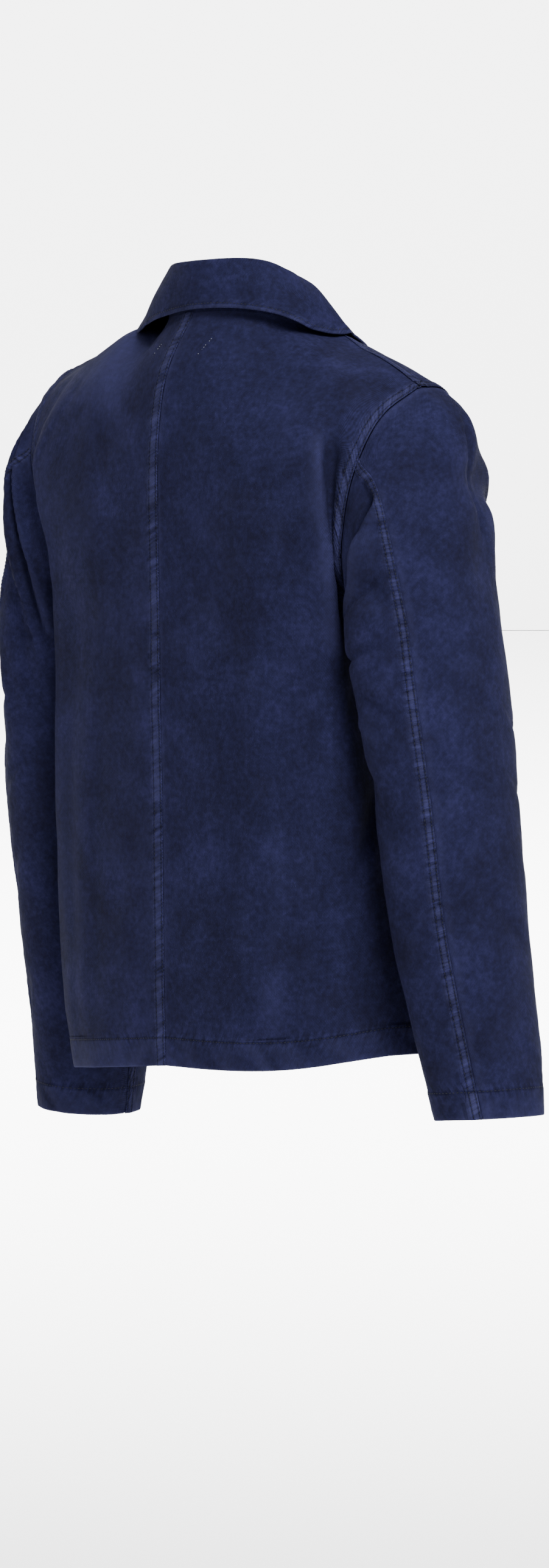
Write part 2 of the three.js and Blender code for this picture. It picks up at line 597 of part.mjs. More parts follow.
// The place on a front whose distance from the centre line and height above the hem are given.
function frontPlace(side, x, z) {
  let across = 1 - x / PANEL.frontWidth;
  let along = (z - SECTIONS[0].z) / PANEL.length;
  for (let pass = 0; pass < PLACE_PASSES; pass += 1) {
    const point = bodyPoint("front", side, across, along);
    across -= (x - Math.abs(point.x)) / PANEL.backWidth;
    along += (z - point.z) / PANEL.length;
  }
  return [across, along];
}

function pocket(side) {
  const panel = panelSurface("front", side);
  const lift = CLOTH / 2 + SEAM_GAP + POCKET_CLOTH / 2;
  const columns = POCKET.lastColumn - POCKET.firstColumn;
  const rows = POCKET.lastRow - POCKET.firstRow;
  const place = (u, v) => [
    mix(POCKET.firstColumn, POCKET.lastColumn, u) / PANEL_STEPS.across,
    mix(POCKET.firstRow, POCKET.lastRow, v) / PANEL_STEPS.along,
  ];
  const normal = (u, v) => panel.normal(...place(u, v));
  const lifted = (u, v) => panel.middle(...place(u, v)).addScaledVector(normal(u, v), lift);
  return clothWall(lifted, normal, [columns, rows], POCKET_CLOTH);
}

function circlePoints(x, y, radius, sides) {
  return Array.from({ length: sides }, (_, i) => {
    const turn = (2 * Math.PI * i) / sides;
    return new THREE.Vector2(x + radius * Math.cos(turn), y + radius * Math.sin(turn));
  });
}

function buttonGeometry() {
  const disc = new THREE.Shape(circlePoints(0, 0, BUTTON_DIAMETER / 2 - BUTTON_RIM, BUTTON_SIDES));
  const offset = BUTTON_HOLE_SPACING / 2;
  for (const [x, y] of [[1, 1], [-1, 1], [-1, -1], [1, -1]]) {
    const hole = circlePoints(x * offset, y * offset, BUTTON_HOLE_DIAMETER / 2, BUTTON_HOLE_SIDES);
    disc.holes.push(new THREE.Path(hole));
  }
  return new THREE.ExtrudeGeometry(disc, {
    depth: BUTTON_THICKNESS - 2 * BUTTON_RIM,
    bevelThickness: BUTTON_RIM,
    bevelSize: BUTTON_RIM,
    bevelSegments: 1,
    steps: 1,
  });
}

function addMesh(group, name, geometry, material) {
  const mesh = new THREE.Mesh(geometry, material);
  mesh.name = name;
  group.add(mesh);
  return mesh;
}

function addButtons(group) {
  const surface = bodySurface("front", 1);
  const top = neckRing(NECK, HALF_TURN).z - TOP_BUTTON_DROP;
  const bottom = SECTIONS[0].z + BOTTOM_BUTTON_RISE;
  for (let i = 0; i < BUTTON_COUNT; i += 1) {
    const z = mix(top, bottom, i / (BUTTON_COUNT - 1));
    const [, along] = frontPlace(1, 0, z);
    const face = outward(surface, 1, along, -1);
    const mesh = addMesh(group, "button_" + (i + 1), buttonGeometry(), horn());
    const seat = CLOTH / 2 + BUTTON_SEAT_GAP + BUTTON_RIM;
    mesh.position.copy(surface(1, along)).addScaledVector(face, seat);
    mesh.quaternion.setFromUnitVectors(new THREE.Vector3(0, 0, 1), face);
  }
}

const jacket = new THREE.Group();
for (const [side, word] of [[-1, "right"], [1, "left"]]) {
  addMesh(jacket, "back_" + word, bodyPanel("back", side), twill(NAVY));
  addMesh(jacket, "front_" + word, bodyPanel("front", side), twill(NAVY));
  addMesh(jacket, "sleeve_" + word + "_top", sleevePiece(side, "top"), twill(NAVY));
  addMesh(jacket, "sleeve_" + word + "_under", sleevePiece(side, "under"), twill(NAVY_DARK));
  addMesh(jacket, "pocket_" + word, pocket(side), twill(NAVY));
}
addMesh(jacket, "collar", collar(), twill(NAVY));
addButtons(jacket);

export default jacket;
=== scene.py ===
import math

import bpy
import numpy as np
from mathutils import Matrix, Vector


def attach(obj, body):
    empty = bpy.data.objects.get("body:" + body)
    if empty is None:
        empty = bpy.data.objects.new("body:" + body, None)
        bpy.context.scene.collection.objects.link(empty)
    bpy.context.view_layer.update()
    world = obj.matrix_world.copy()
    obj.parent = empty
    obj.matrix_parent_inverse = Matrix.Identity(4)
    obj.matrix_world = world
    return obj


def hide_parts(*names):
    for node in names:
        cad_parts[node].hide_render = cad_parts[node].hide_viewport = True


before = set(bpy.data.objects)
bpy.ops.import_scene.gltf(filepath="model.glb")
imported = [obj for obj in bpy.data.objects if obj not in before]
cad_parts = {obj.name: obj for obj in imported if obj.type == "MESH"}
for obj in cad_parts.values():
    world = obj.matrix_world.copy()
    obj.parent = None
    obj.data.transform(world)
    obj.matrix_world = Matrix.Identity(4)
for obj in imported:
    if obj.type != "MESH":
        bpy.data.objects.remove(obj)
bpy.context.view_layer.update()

# Back and fronts: four panels of heavy cotton twill, cut flat and sewn with flat-felled seams, the hem
# turned up 25 mm. The back left laps over the back right, and each seam has two rows of stitches.
CLOTH = 1.5
HALF_CLOTH = CLOTH / 2
LAP = 3
HEM_WIDTH = 25
HEM_STITCHES = 23.8
FRONT_EDGE_WIDTH = 30
FRONT_EDGE_STITCHES = 28.8
NECK = dict(half=80, y=32, back=67, front=100, back_z=20.5, side_z=2.5, front_z=-80, curve=1.3)
FOLD = dict(half=65, y=48, back=47, front=98, back_z=63, side_z=46, front_z=-62, curve=2)
LEAF = dict(half=98, y=42, back=63, front=100, back_z=23, side_z=-4.5, front_z=-80, curve=1.3)
SEAM_ANGLE = 102
SHOULDER_POINT = (220, 40, -38)
SHOULDER_CROWN = 6
# z, back y, corner x and y, side x and y, front corner x and y, front y
SECTIONS = [
    (-612, 130, 173, 85, 194, 8, 156, -74, -114),
    (-548, 132, 183, 92, 191, 14, 156, -76, -116),
    (-465, 133, 188, 95, 183, 22, 154, -77, -116),
    (-385, 134, 190, 97, 176, 30, 153, -78, -118),
    (-312, 136, 185, 100, 162, 37, 152, -78, -120),
    (-245, 137, 180, 104, 153, 40, 148, -76, -120),
]
# centre y and z, near x y z, fold x y z, armhole edge x y z
BACK_ROWS = [
    (138, -190, 122, 132, -190, 181, 108, -191, 184, 93, -193),
    (139, -135, 118, 133, -133, 180, 115, -140, 192, 98, -146),
    (138, -82, 114, 119, -68, 173, 111, -88, 200, 92, -104),
    (128, -28, 104, 70, -11, 159, 80, -37, 210, 73, -63),
]
FRONT_ROWS = [
    (-119, -205, 98, -106, -195, 138, -80, -193, 152, -38, -196),
    (-115, -173, 94, -98, -138, 139, -78, -137, 167, -53, -138),
    (-107, -142, 94, -72, -76, 148, -52, -72, 192, -34, -90),
    (-93, -111, 98, -30, -29, 156, -2, -25, 213, 4, -44),
]
UNDERARM_ROW = 5
TOP_ROW = 10
BACK_WIDTH = 250
FRONT_WIDTH = 208
PANEL_LENGTH = 690
BUTTON_STAND = 20
OVERLAP_STEP = 3.2
# side, from across and along, to across and along, width, height
BACK_FOLDS = [
    (-1, 0.80, 0.92, 0.86, 0.52, 0.07, -5), (1, 0.82, 0.90, 0.90, 0.55, 0.07, -4),
    (-1, 0.62, 0.50, 0.55, 0.05, 0.12, -4), (1, 0.55, 0.55, 0.62, 0.05, 0.12, -3),
]
FRONT_FOLDS = [
    (-1, 0.18, 0.80, 0.30, 0.45, 0.10, 5), (1, 0.16, 0.80, 0.32, 0.48, 0.10, 4),
    (-1, 0.40, 0.55, 0.46, 0.10, 0.12, -4), (1, 0.42, 0.60, 0.40, 0.12, 0.12, -3),
]
# The same tables for the smaller creases, which only the looks need
BACK_CREASES = [
    (-1, 0.36, 0.47, 0.30, 0.12, 0.05, -1.8), (-1, 0.78, 0.46, 0.70, 0.14, 0.045, -2.2),
    (-1, 0.70, 0.80, 0.84, 0.62, 0.03, -1.4), (-1, 0.16, 0.97, 0.42, 0.90, 0.03, -0.9),
    (-1, 0.52, 0.30, 0.50, 0.03, 0.05, 1.4), (-1, 0.90, 0.44, 0.78, 0.36, 0.03, -1.6),
    (1, 0.34, 0.44, 0.40, 0.08, 0.05, -1.6), (1, 0.70, 0.46, 0.78, 0.10, 0.05, -2.0),
    (1, 0.60, 0.84, 0.84, 0.64, 0.03, -1.2), (1, 0.50, 0.34, 0.52, 0.05, 0.045, 1.3),
    (1, 0.88, 0.10, 0.94, 0.02, 0.03, -1.8), (1, 0.18, 0.96, 0.44, 0.91, 0.03, -0.8),
]
FRONT_CREASES = [
    (-1, 0.10, 0.66, 0.34, 0.54, 0.03, -1.6), (-1, 0.62, 0.74, 0.70, 0.40, 0.05, -1.5),
    (-1, 0.16, 0.44, 0.28, 0.30, 0.03, -1.8), (-1, 0.80, 0.60, 0.92, 0.52, 0.02, 1.0),
    (1, 0.12, 0.70, 0.36, 0.58, 0.03, -1.5), (1, 0.60, 0.70, 0.66, 0.38, 0.05, -1.4),
    (1, 0.14, 0.46, 0.30, 0.34, 0.03, -1.7), (1, 0.78, 0.44, 0.94, 0.40, 0.02, 1.0),
]
# side, path of (along, across) places, width, height, steepness of the far side
BACK_DRAPES = [
    (-1, [(0.44, 0.81), (0.50, 0.80), (0.58, 0.787), (0.68, 0.78), (0.77, 0.765), (0.84, 0.76)],
     0.06, 5.5, 0.28),
    (-1, [(0.47, 0.95), (0.58, 0.90), (0.64, 0.885), (0.70, 0.86), (0.76, 0.845), (0.84, 0.84)],
     0.045, -7.0, 1.2),
    (1, [(0.52, 0.80), (0.62, 0.76), (0.72, 0.74), (0.80, 0.72)], 0.06, 1.8, 0.7),
    (-1, [(0.04, 0.86), (0.12, 0.80), (0.20, 0.76), (0.28, 0.74)], 0.035, -2.4, 1.0),
    (-1, [(0.16, 0.76), (0.22, 0.82), (0.28, 0.89), (0.34, 0.96)], 0.04, -3.0, 0.6),
    (1, [(0.78, 0.50), (0.88, 0.48), (1.01, 0.44)], 0.17, 6.5, 1.0),
    (1, [(0.03, 0.62), (0.14, 0.60), (0.30, 0.62), (0.42, 0.66)], 0.05, 1.6, 1.0),
]


def mix(a, b, share):
    return a + (b - a) * share


def smooth(share):
    s = np.clip(share, 0, 1)
    return s * s * (3 - 2 * s)


def points3(x, y, z):
    return np.stack(np.broadcast_arrays(x, y, z), axis=-1).astype(float)


def curve(points, before, after, place):
    """A smooth curve through equally spaced points, each one place or one per sample."""
    count = len(place)
    stack = np.stack([np.broadcast_to(p, (count, 3)) for p in (before, *points, after)])
    i = np.clip(np.floor(place).astype(int), 0, len(points) - 2)
    t = (place - i)[:, None]
    each = np.arange(count)
    p0, p1, p2, p3 = (stack[i + k, each] for k in range(4))
    pull1, pull2, step = (p2 - p0) / 2, (p3 - p1) / 2, p1 - p2
    return (((2 * step + pull1 + pull2) * t - 3 * step - 2 * pull1 - pull2) * t + pull1) * t + p1


def neck_ring(ring, angle):
    turn = np.radians(np.minimum(angle, 90))
    past = np.radians(np.maximum(angle, 90) - 90)
    fall = ring["back_z"] - ring["side_z"]
    back = points3(ring["half"] * np.sin(turn), ring["y"] + ring["back"] * np.cos(turn),
                   ring["back_z"] - fall * (1 - np.cos(turn)) ** ring["curve"])
    slope = fall * ring["curve"]
    rest = ring["side_z"] - ring["front_z"] - slope
    front = points3(ring["half"] * np.cos(past), ring["y"] - ring["front"] * np.sin(past),
                    ring["side_z"] - slope * np.sin(past) - rest * (1 - np.cos(past)))
    return np.where((angle <= 90)[:, None], back, front)


def shoulder_line(share):
    neck = neck_ring(NECK, np.full(len(share), float(SEAM_ANGLE)))
    point = neck + (np.array(SHOULDER_POINT) - neck) * share[:, None]
    point[:, 2] += SHOULDER_CROWN * np.sin(np.pi * share)
    return point


def section_ring(row):
    z, back, cx, cy, sx, sy, fx, fcy, front = row
    drop, rise = back - cy, fcy - front
    return [np.array(p, float) for p in (
        (0, back, z), (cx * 0.34, back - drop * 0.07, z), (cx * 0.68, back - drop * 0.32, z), (cx, cy, z),
        (sx, sy, z), (fx, fcy, z), (fx * 0.69, front + rise * 0.38, z), (fx * 0.35, front + rise * 0.08, z),
        (0, front, z))]


def upper_row(kind, row):
    cy, cz, nx, ny, nz, fx, fy, fz, ex, ey, ez = row
    share = 0.4 if kind == "back" else 0.35
    between = (nx * 0.5, mix(cy, ny, 0.24), mix(cz, nz, share))
    line = [(0, cy, cz), between, (nx, ny, nz), (fx, fy, fz), (ex, ey, ez)]
    return [np.array(p, float) for p in (line if kind == "back" else line[::-1])]


MIRROR = np.array([-1, 1, 1])


def row_points(kind, row, station):
    back = kind == "back"
    if row == TOP_ROW and back:
        return np.where((station <= 2)[:, None], neck_ring(NECK, SEAM_ANGLE * station / 2),
                        shoulder_line((station - 2) / 2))
    if row == TOP_ROW:
        return np.where((station <= 2)[:, None], shoulder_line(1 - station / 2),
                        neck_ring(NECK, mix(SEAM_ANGLE, 180, (station - 2) / 2)))
    if row <= UNDERARM_ROW:
        ring = section_ring(SECTIONS[row])
        return curve(ring, ring[1] * MIRROR, ring[-2] * MIRROR, station if back else station + 4)
    line = upper_row(kind, (BACK_ROWS if back else FRONT_ROWS)[row - UNDERARM_ROW - 1])
    if back:
        return curve(line, line[1] * MIRROR, 2 * line[4] - line[3], station)
    return curve(line, 2 * line[0] - line[1], line[3] * MIRROR, station)


def body_shape(kind, across, along):
    over = across > 1 if kind == "front" else np.zeros(len(across), bool)
    station = 4 * np.where(over, 2 - across, across)
    column = [row_points(kind, row, station) for row in range(TOP_ROW + 1)]
    place = along * TOP_ROW
    near = smooth(station - 3 if kind == "back" else 1 - station) * (place < UNDERARM_ROW)
    bent = 2 * column[UNDERARM_ROW] - column[UNDERARM_ROW - 1]
    column[UNDERARM_ROW + 1] = mix(column[UNDERARM_ROW + 1], bent, near[:, None])
    point = curve(column, 2 * column[0] - column[1], 2 * column[-1] - column[-2], place)
    point[over, 0] *= -1
    return point


def worn(point, rise_weight=1.0):
    """The worn pose's asymmetry: lower hem, higher and longer shoulder on the left, tilted neck."""
    x, z = point[:, 0].copy(), point[:, 2].copy()
    low = smooth((-250 - z) / 362)
    reached = np.where(x < 0, np.minimum(1, (np.abs(x) / 190) ** 3), 1)
    neck = smooth((z + 60) / 50) * smooth((130 - np.abs(x)) / 50)
    left = x > 0
    rise = smooth((x - 62) / 52) * smooth((228 - x) / 112) * smooth((z + 200) / 150) * left
    reach = smooth((x - 110) / 110) * smooth((z + 190) / 90) * left
    point[:, 2] += -x * (0.085 * low * reached + 0.08 * neck) + rise_weight * 13 * rise
    point[:, 0] += 28 * reach
    return point


def body_point(kind, side, across, along):
    point = body_shape(kind, across, along)
    point[:, 0] *= side
    return worn(point)


def crease(across, along, path, width, tall, steep=1.0, ends=0.05):
    """A ridge or trough along a path of (along, across) places, steeper on its far side."""
    path = sorted(path)
    places, shares = [p for p, _ in path], [q for _, q in path]
    away = across - np.interp(along, places, shares)
    away = away / np.where(away > 0, width * steep, width)
    inside = smooth((along - places[0]) / ends) * smooth((places[-1] - along) / ends)
    return tall * np.exp(-away * away) * inside


def drapes(height, table, side, across, along, ends=0.05):
    """The height with one side's creases of a table added."""
    for drape_side, path, width, tall, steep in table:
        if drape_side == side:
            height = height + crease(across, along, path, width, tall, steep, ends)
    return height


def fold_height(folds, side, across, along):
    height = np.zeros_like(across)
    for fold_side, from_a, from_b, to_a, to_b, width, tall in folds:
        if fold_side != side:
            continue
        place = (along - from_b) / (to_b - from_b)
        away = (across - from_a - (to_a - from_a) * place) / width
        ends = smooth((place + 0.28) / 0.56) * smooth((1.28 - place) / 0.56)
        height += tall * np.exp(-away * away) * ends
    return height


LAYERS, LATTICE_SIZE = 8, 64
LATTICE = np.random.default_rng(11).random((LAYERS, LATTICE_SIZE, LATTICE_SIZE))


def noise(x, y, layer=0):
    """Soft value noise from -1 to 1, one bump per unit."""
    table = LATTICE[layer % LAYERS]
    i, j = np.floor(x).astype(int), np.floor(y).astype(int)
    s, t = smooth(x - i), smooth(y - j)
    i, j = i % LATTICE_SIZE, j % LATTICE_SIZE
    i_next, j_next = (i + 1) % LATTICE_SIZE, (j + 1) % LATTICE_SIZE
    low = mix(table[i, j], table[i_next, j], s)
    high = mix(table[i, j_next], table[i_next, j_next], s)
    return 2 * mix(low, high, t) - 1


def crumple(x, y, layer):
    return noise(x, y, layer) + 0.5 * noise(2.1 * x + 7, 2.1 * y, layer + 1)


def spread(total, dense_from, dense_to, coarse, fine=0.9):
    """Places from 0 to total: close together near both ends, wider between."""
    first = np.arange(0.0, dense_from, fine)
    last = np.arange(total - dense_to, total + fine / 2, fine)
    count = max(2, round((total - dense_to - dense_from) / coarse))
    middle = np.linspace(dense_from, total - dense_to, count)
    return np.unique(np.round(np.concatenate([first, middle, last, [total]]), 3))


class Cloth:
    """A grid of places on a middle surface, with its outward directions and distances in mm."""

    def __init__(self, point, turn):
        self.point, self.turn = point, turn
        self.measure()

    def measure(self):
        run = np.gradient(self.point, axis=1)
        rise = np.gradient(self.point, axis=0)
        normal = np.cross(run, rise) * self.turn
        self.normal = normal / np.linalg.norm(normal, axis=-1, keepdims=True)
        step = np.linalg.norm(np.diff(self.point, axis=1), axis=-1)
        self.left = np.pad(np.cumsum(step, axis=1), ((0, 0), (1, 0)))
        self.right = self.left[:, -1:] - self.left
        step = np.linalg.norm(np.diff(self.point, axis=0), axis=-1)
        self.low = np.pad(np.cumsum(step, axis=0), ((1, 0), (0, 0)))
        self.high = self.low[-1:] - self.low

    def push(self, height):
        self.point = self.point + self.normal * height[..., None]


class Relief:
    """What a panel's seams and hems add up to: height, real wear with painted shade and highlight mixed in,
    and the place along the nearest seam.
    """

    def __init__(self, shape):
        self.high, self.wear = np.zeros(shape), np.zeros(shape)
        self.strip = np.zeros((*shape, 3))

    def add(self, high, wear, strip, weight=1.0):
        self.high += high * weight
        self.wear += wear * weight
        strength = strip[..., 2] * weight
        nearer = strength > self.strip[..., 2]
        strip = np.stack([strip[..., 0], strip[..., 1], strength], axis=-1)
        self.strip = np.where(nearer[..., None], strip, self.strip)


def felled(distance, along, width, lean, layer, height=0.9):
    """A felled seam whose doubled cloth lies from 0 to width from its edge, with two rows of stitches."""
    band = height * (1 - smooth((distance - width) / 1.8))
    rows = np.exp(-((distance - 1.6) / 0.7) ** 2) + np.exp(-((distance - width + 1.4) / 0.7) ** 2)
    envelope = np.exp(-(np.abs(distance - width / 2) / (width * 0.72)) ** 3)
    pucker = crumple((along + lean * distance) / 3.9, distance / 26 + 3, layer) * envelope
    coarse = noise(along / 34 + 5, distance / 40, layer + 2) * envelope
    high = band - 0.4 * rows + 0.32 * pucker + 0.2 * coarse
    # The rubbed band and pucker ridges are real wear; pucker hollows and the sunken stitch rows are
    # darkened as painted shade.
    wear = 0.42 * envelope + 0.35 * pucker - 0.95 * rows
    return high, wear, np.stack([along + lean * distance, distance, envelope], axis=-1)


def tucked(distance):
    """Height of a cloth's edge that runs on under its neighbour's band."""
    return -1.5 * (1 - smooth((distance + 1.6) / 2.2))


def hem(distance, along, width, layer):
    """A turned-up hem with one row of stitches at its top and a rubbed edge."""
    band = 0.55 * (1 - smooth((distance - width) / 1.5))
    row = np.exp(-((distance - width + 1.2) / 0.9) ** 2)
    inside = smooth((width + 4 - distance) / 6)
    rope = crumple((along + 0.7 * distance) / 13, distance / 30, layer) * inside
    edge = np.exp(-distance / 1.6)
    high = band - 0.4 * row + 0.35 * rope * inside
    # The pale edge is real wear; the sunken stitch row and the rope's hollows are darkened as painted
    # shade.
    wear = 0.2 * rope * inside - 0.85 * row + 0.5 * edge + 0.12 * inside
    near_row = np.exp(-((distance - width + 2) / 7) ** 2)
    envelope = np.maximum(0.6 * near_row, 0.18 * inside)
    return high, wear, np.stack([along - 0.5 * distance, distance, envelope], axis=-1)


def linear(code):
    """Linear colour of an sRGB hex code."""
    parts = [int(code[i:i + 2], 16) / 255 for i in (1, 3, 5)]
    return tuple(c / 12.92 if c <= 0.04045 else ((c + 0.055) / 1.055) ** 2.4 for c in parts) + (1,)


def node(tree, kind, place, settings=(), **inputs):
    """Adds a node: settings are its own, inputs are values or the sockets that feed it."""
    made = tree.nodes.new("ShaderNode" + kind)
    made.location = place
    for key, value in dict(settings).items():
        setattr(made, key, value)
    for key, value in inputs.items():
        by_number = key[0] == "i" and key[1:].isdigit()
        socket = made.inputs[int(key[1:]) if by_number else key.replace("_", " ")]
        if isinstance(value, bpy.types.NodeSocket):
            tree.links.new(value, socket)
        else:
            socket.default_value = value
    return made


def math_node(tree, operation, place, *values, clamp=False):
    """Adds a Math node: each value is a number or the socket that feeds it."""
    inputs = {"i" + str(k): value for k, value in enumerate(values)}
    return node(tree, "Math", place, {"operation": operation, "use_clamp": clamp}, **inputs)


def new_material(name):
    material = bpy.data.materials.new(name)
    material.use_nodes = True
    tree = material.node_tree
    tree.nodes.clear()
    return material, tree


def twill(name, deep, middle, pale, rubbed_and_highlight_colour):
    """Garment-dyed cotton twill: cloudy navy, faint slubs and diagonal ribs, paler where it rubs, with
    painted shade darkening its fold troughs, pucker hollows and stitch dents.
    """
    # Noise scales count bumps in a metre: clouds 50 mm, blotches 5 mm, slubs 17 by 3 mm, puckers 3.4 mm,
    # yarns 1.1 mm. The ribs are 1.3 mm apart.
    material, tree = new_material(name)
    place = node(tree, "TexCoord", (-1500, 0))
    across = place.outputs["UV"]
    cloud = node(tree, "TexNoise", (-1200, 300), Vector=place.outputs["Object"], Scale=20.0,
                 Detail=4.0, Roughness=0.6, Distortion=0.3)
    blotch = node(tree, "TexNoise", (-1200, 100), Vector=place.outputs["Object"], Scale=210.0,
                  Detail=4.0, Roughness=0.7)
    seam = node(tree, "Attribute", (-1600, 900), settings={"attribute_name": "seam"})
    strip = node(tree, "SeparateXYZ", (-1400, 900), Vector=seam.outputs["Vector"])
    drawn = node(tree, "Mapping", (-1400, 1100), Vector=seam.outputs["Vector"],
                 Scale=(290.0, 50.0, 0.0))
    pucker = node(tree, "TexNoise", (-1200, 1100), Vector=drawn.outputs[0], Scale=1.0, Detail=2.0,
                  Roughness=0.5)
    pucker = math_node(tree, "SUBTRACT", (-1000, 1100), pucker.outputs[0], 0.5)
    pucker = math_node(tree, "MULTIPLY", (-840, 1100), pucker.outputs[0], strip.outputs[2])
    flat = node(tree, "Mapping", (-1300, -150), Vector=across, Scale=(60.0, 330.0, 1.0))
    slub = node(tree, "TexNoise", (-1100, -150), Vector=flat.outputs[0], Scale=1.0, Detail=3.0,
                Roughness=0.6)
    turned = node(tree, "Mapping", (-1300, -400), Vector=across,
                  Rotation=(0.0, 0.0, math.radians(32)))
    rib = node(tree, "TexWave", (-1100, -400),
               settings={"wave_type": "BANDS", "bands_direction": "X", "wave_profile": "SIN"},
               Vector=turned.outputs[0], Scale=250.0, Distortion=1.6, Detail=2.0, Detail_Scale=1.5)
    yarn = node(tree, "TexNoise", (-1100, -650), Vector=across, Scale=900.0, Detail=2.0,
                Roughness=0.6)
    # The pucker term colours the seam puckers like their bump: real fading on the ridges, painted shade in
    # the hollows.
    shade = -0.395
    shares = [(cloud.outputs[0], 0.75), (blotch.outputs[0], 0.85), (slub.outputs[0], 0.20),
              (rib.outputs[1], 0.16), (pucker.outputs[0], 1.6)]
    for value, share in shares:
        shade = math_node(tree, "MULTIPLY_ADD", (-500, 200), value, share, shade).outputs[0]
    ramp = node(tree, "ValToRGB", (-250, 200), Fac=shade)
    ramp.color_ramp.elements[0].position = 0.35
    ramp.color_ramp.elements[0].color = linear(deep)
    ramp.color_ramp.elements[1].position = 0.89
    ramp.color_ramp.elements[1].color = linear(pale)
    ramp.color_ramp.elements.new(0.62).color = linear(middle)
    # The per-point attribute read here: where positive it mixes in the rubbed colour (real wear, plus a
    # painted highlight on fold ridges); where negative it mixes in near-black navy, painted shade in fold
    # troughs, pucker hollows and sunken stitch rows.
    rub_and_shade = node(tree, "Attribute", (-900, 600), settings={"attribute_name": "wear"})
    rub_and_highlight = math_node(tree, "MULTIPLY", (-700, 600), rub_and_shade.outputs["Fac"], 0.55, clamp=True)
    painted_shade = math_node(tree, "MULTIPLY", (-700, 760), rub_and_shade.outputs["Fac"], -0.7, clamp=True)
    light = node(tree, "MixRGB", (0, 300), Fac=rub_and_highlight.outputs[0], Color1=ramp.outputs[0],
                 Color2=linear(rubbed_and_highlight_colour))
    with_painted_shade = node(tree, "MixRGB", (180, 300), Fac=painted_shade.outputs[0], Color1=light.outputs[0],
                Color2=linear("#0b0c1a"))
    surface = {}
    reliefs = [(yarn.outputs[0], 0.25, 0.0004), (rib.outputs[1], 0.5, 0.0004),
               (blotch.outputs[0], 0.25, 0.0015), (pucker.outputs[0], 1.0, 0.003)]
    for height, strength, distance in reliefs:
        bump = node(tree, "Bump", (300, -200), Height=height, Strength=strength,
                    Distance=distance, **surface)
        surface = {"Normal": bump.outputs[0]}
    shader = node(tree, "BsdfPrincipled", (560, 200), Base_Color=with_painted_shade.outputs[0], Roughness=0.9,
                  IOR=1.4, **surface)
    shader.inputs["Specular IOR Level"].default_value = 0.08
    shader.inputs["Sheen Weight"].default_value = 0.02
    shader.inputs["Sheen Roughness"].default_value = 0.45
    shader.inputs["Sheen Tint"].default_value = linear("#8a8db5")
    node(tree, "OutputMaterial", (820, 200), i0=shader.outputs[0])
    return material


def put_in_scene(name, data):
    made = bpy.data.objects.new(name, data)
    bpy.context.scene.collection.objects.link(made)
    return made


def smooth_mesh(name, vertices, faces, material):
    mesh = bpy.data.meshes.new(name)
    mesh.from_pydata(vertices, [], faces)
    mesh.polygons.foreach_set("use_smooth", [True] * len(mesh.polygons))
    mesh.materials.append(material)
    return put_in_scene(name, mesh)


def add_object(name, vertices, faces, material):
    made = smooth_mesh(name, np.asarray(vertices).tolist(), faces, material)
    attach(made, "root")
    return made


def add_cloth(name, cloth, material, relief, thick_out=HALF_CLOTH, thick_in=HALF_CLOTH):
    """Makes the closed shell of a cloth: outer and inner face with rounded edges."""
    rows, columns = cloth.point.shape[:2]
    edge = np.minimum(np.minimum(cloth.left, cloth.right), np.minimum(cloth.low, cloth.high))
    round_off = (0.35 + 0.65 * np.sqrt(np.clip(edge / 0.9, 0, 1)))[..., None]
    outer = cloth.point + cloth.normal * thick_out * round_off
    inner = cloth.point - cloth.normal * thick_in * round_off
    vertices = np.concatenate([outer.reshape(-1, 3), inner.reshape(-1, 3)]) / 1000
    index = np.arange(rows * columns).reshape(rows, columns)
    a, b, c, d = index[:-1, :-1], index[:-1, 1:], index[1:, 1:], index[1:, :-1]
    front = np.stack([a, b, c, d], axis=-1).reshape(-1, 4)
    back = np.stack([a, d, c, b], axis=-1).reshape(-1, 4) + rows * columns
    ring = np.concatenate([index[0, :-1], index[:-1, -1], index[-1, :0:-1], index[:0:-1, 0]])
    following = np.roll(ring, -1)
    sides = np.stack([following, ring, ring + rows * columns, following + rows * columns], axis=-1)
    faces = np.concatenate([front, back, sides])
    if cloth.turn < 0:
        faces = faces[:, ::-1]
    made = add_object(name, vertices, faces.tolist(), material)
    mesh = made.data
    uv = np.stack([cloth.left, cloth.low], axis=-1).reshape(-1, 2) / 1000
    uv = np.concatenate([uv, uv])
    corner = np.empty(len(mesh.loops), int)
    mesh.loops.foreach_get("vertex_index", corner)
    mesh.uv_layers.new(name="cut").data.foreach_set("uv", uv[corner].ravel())
    # This colour attribute is real rubbed wear plus painted shade in dents, hollows and fold troughs and a
    # painted highlight on fold ridges; the inner face gets 0.4 of it.
    values = np.concatenate([relief.wear.ravel(), 0.4 * relief.wear.ravel()]).astype(np.float32)
    mesh.attributes.new("wear", "FLOAT", "POINT").data.foreach_set("value", values)
    strip = relief.strip.reshape(-1, 3) * np.array([0.001, 0.001, 1])
    strip = np.concatenate([strip, strip]).astype(np.float32)
    mesh.attributes.new("seam", "FLOAT_VECTOR", "POINT").data.foreach_set("vector", strip.ravel())
    return made


def seam_row(cloth, edge, distance, rows=None):
    """The line on a cloth's outer face at a distance from one of its edges."""
    spans = {"left": cloth.left, "right": cloth.right, "low": cloth.low, "high": cloth.high}
    span = spans[edge]
    point = cloth.point + cloth.normal * HALF_CLOTH
    normal = cloth.normal
    if edge in ("low", "high"):
        span, point, normal = span.T, point.swapaxes(0, 1), normal.swapaxes(0, 1)
    if edge in ("right", "high"):
        span, point, normal = span[:, ::-1], point[:, ::-1], normal[:, ::-1]
    lines = range(len(span)) if rows is None else rows
    found = [[[np.interp(distance, span[j], part[j, :, k]) for k in range(3)] for j in lines]
             for part in (point, normal)]
    return np.array(found[0]), np.array(found[1])


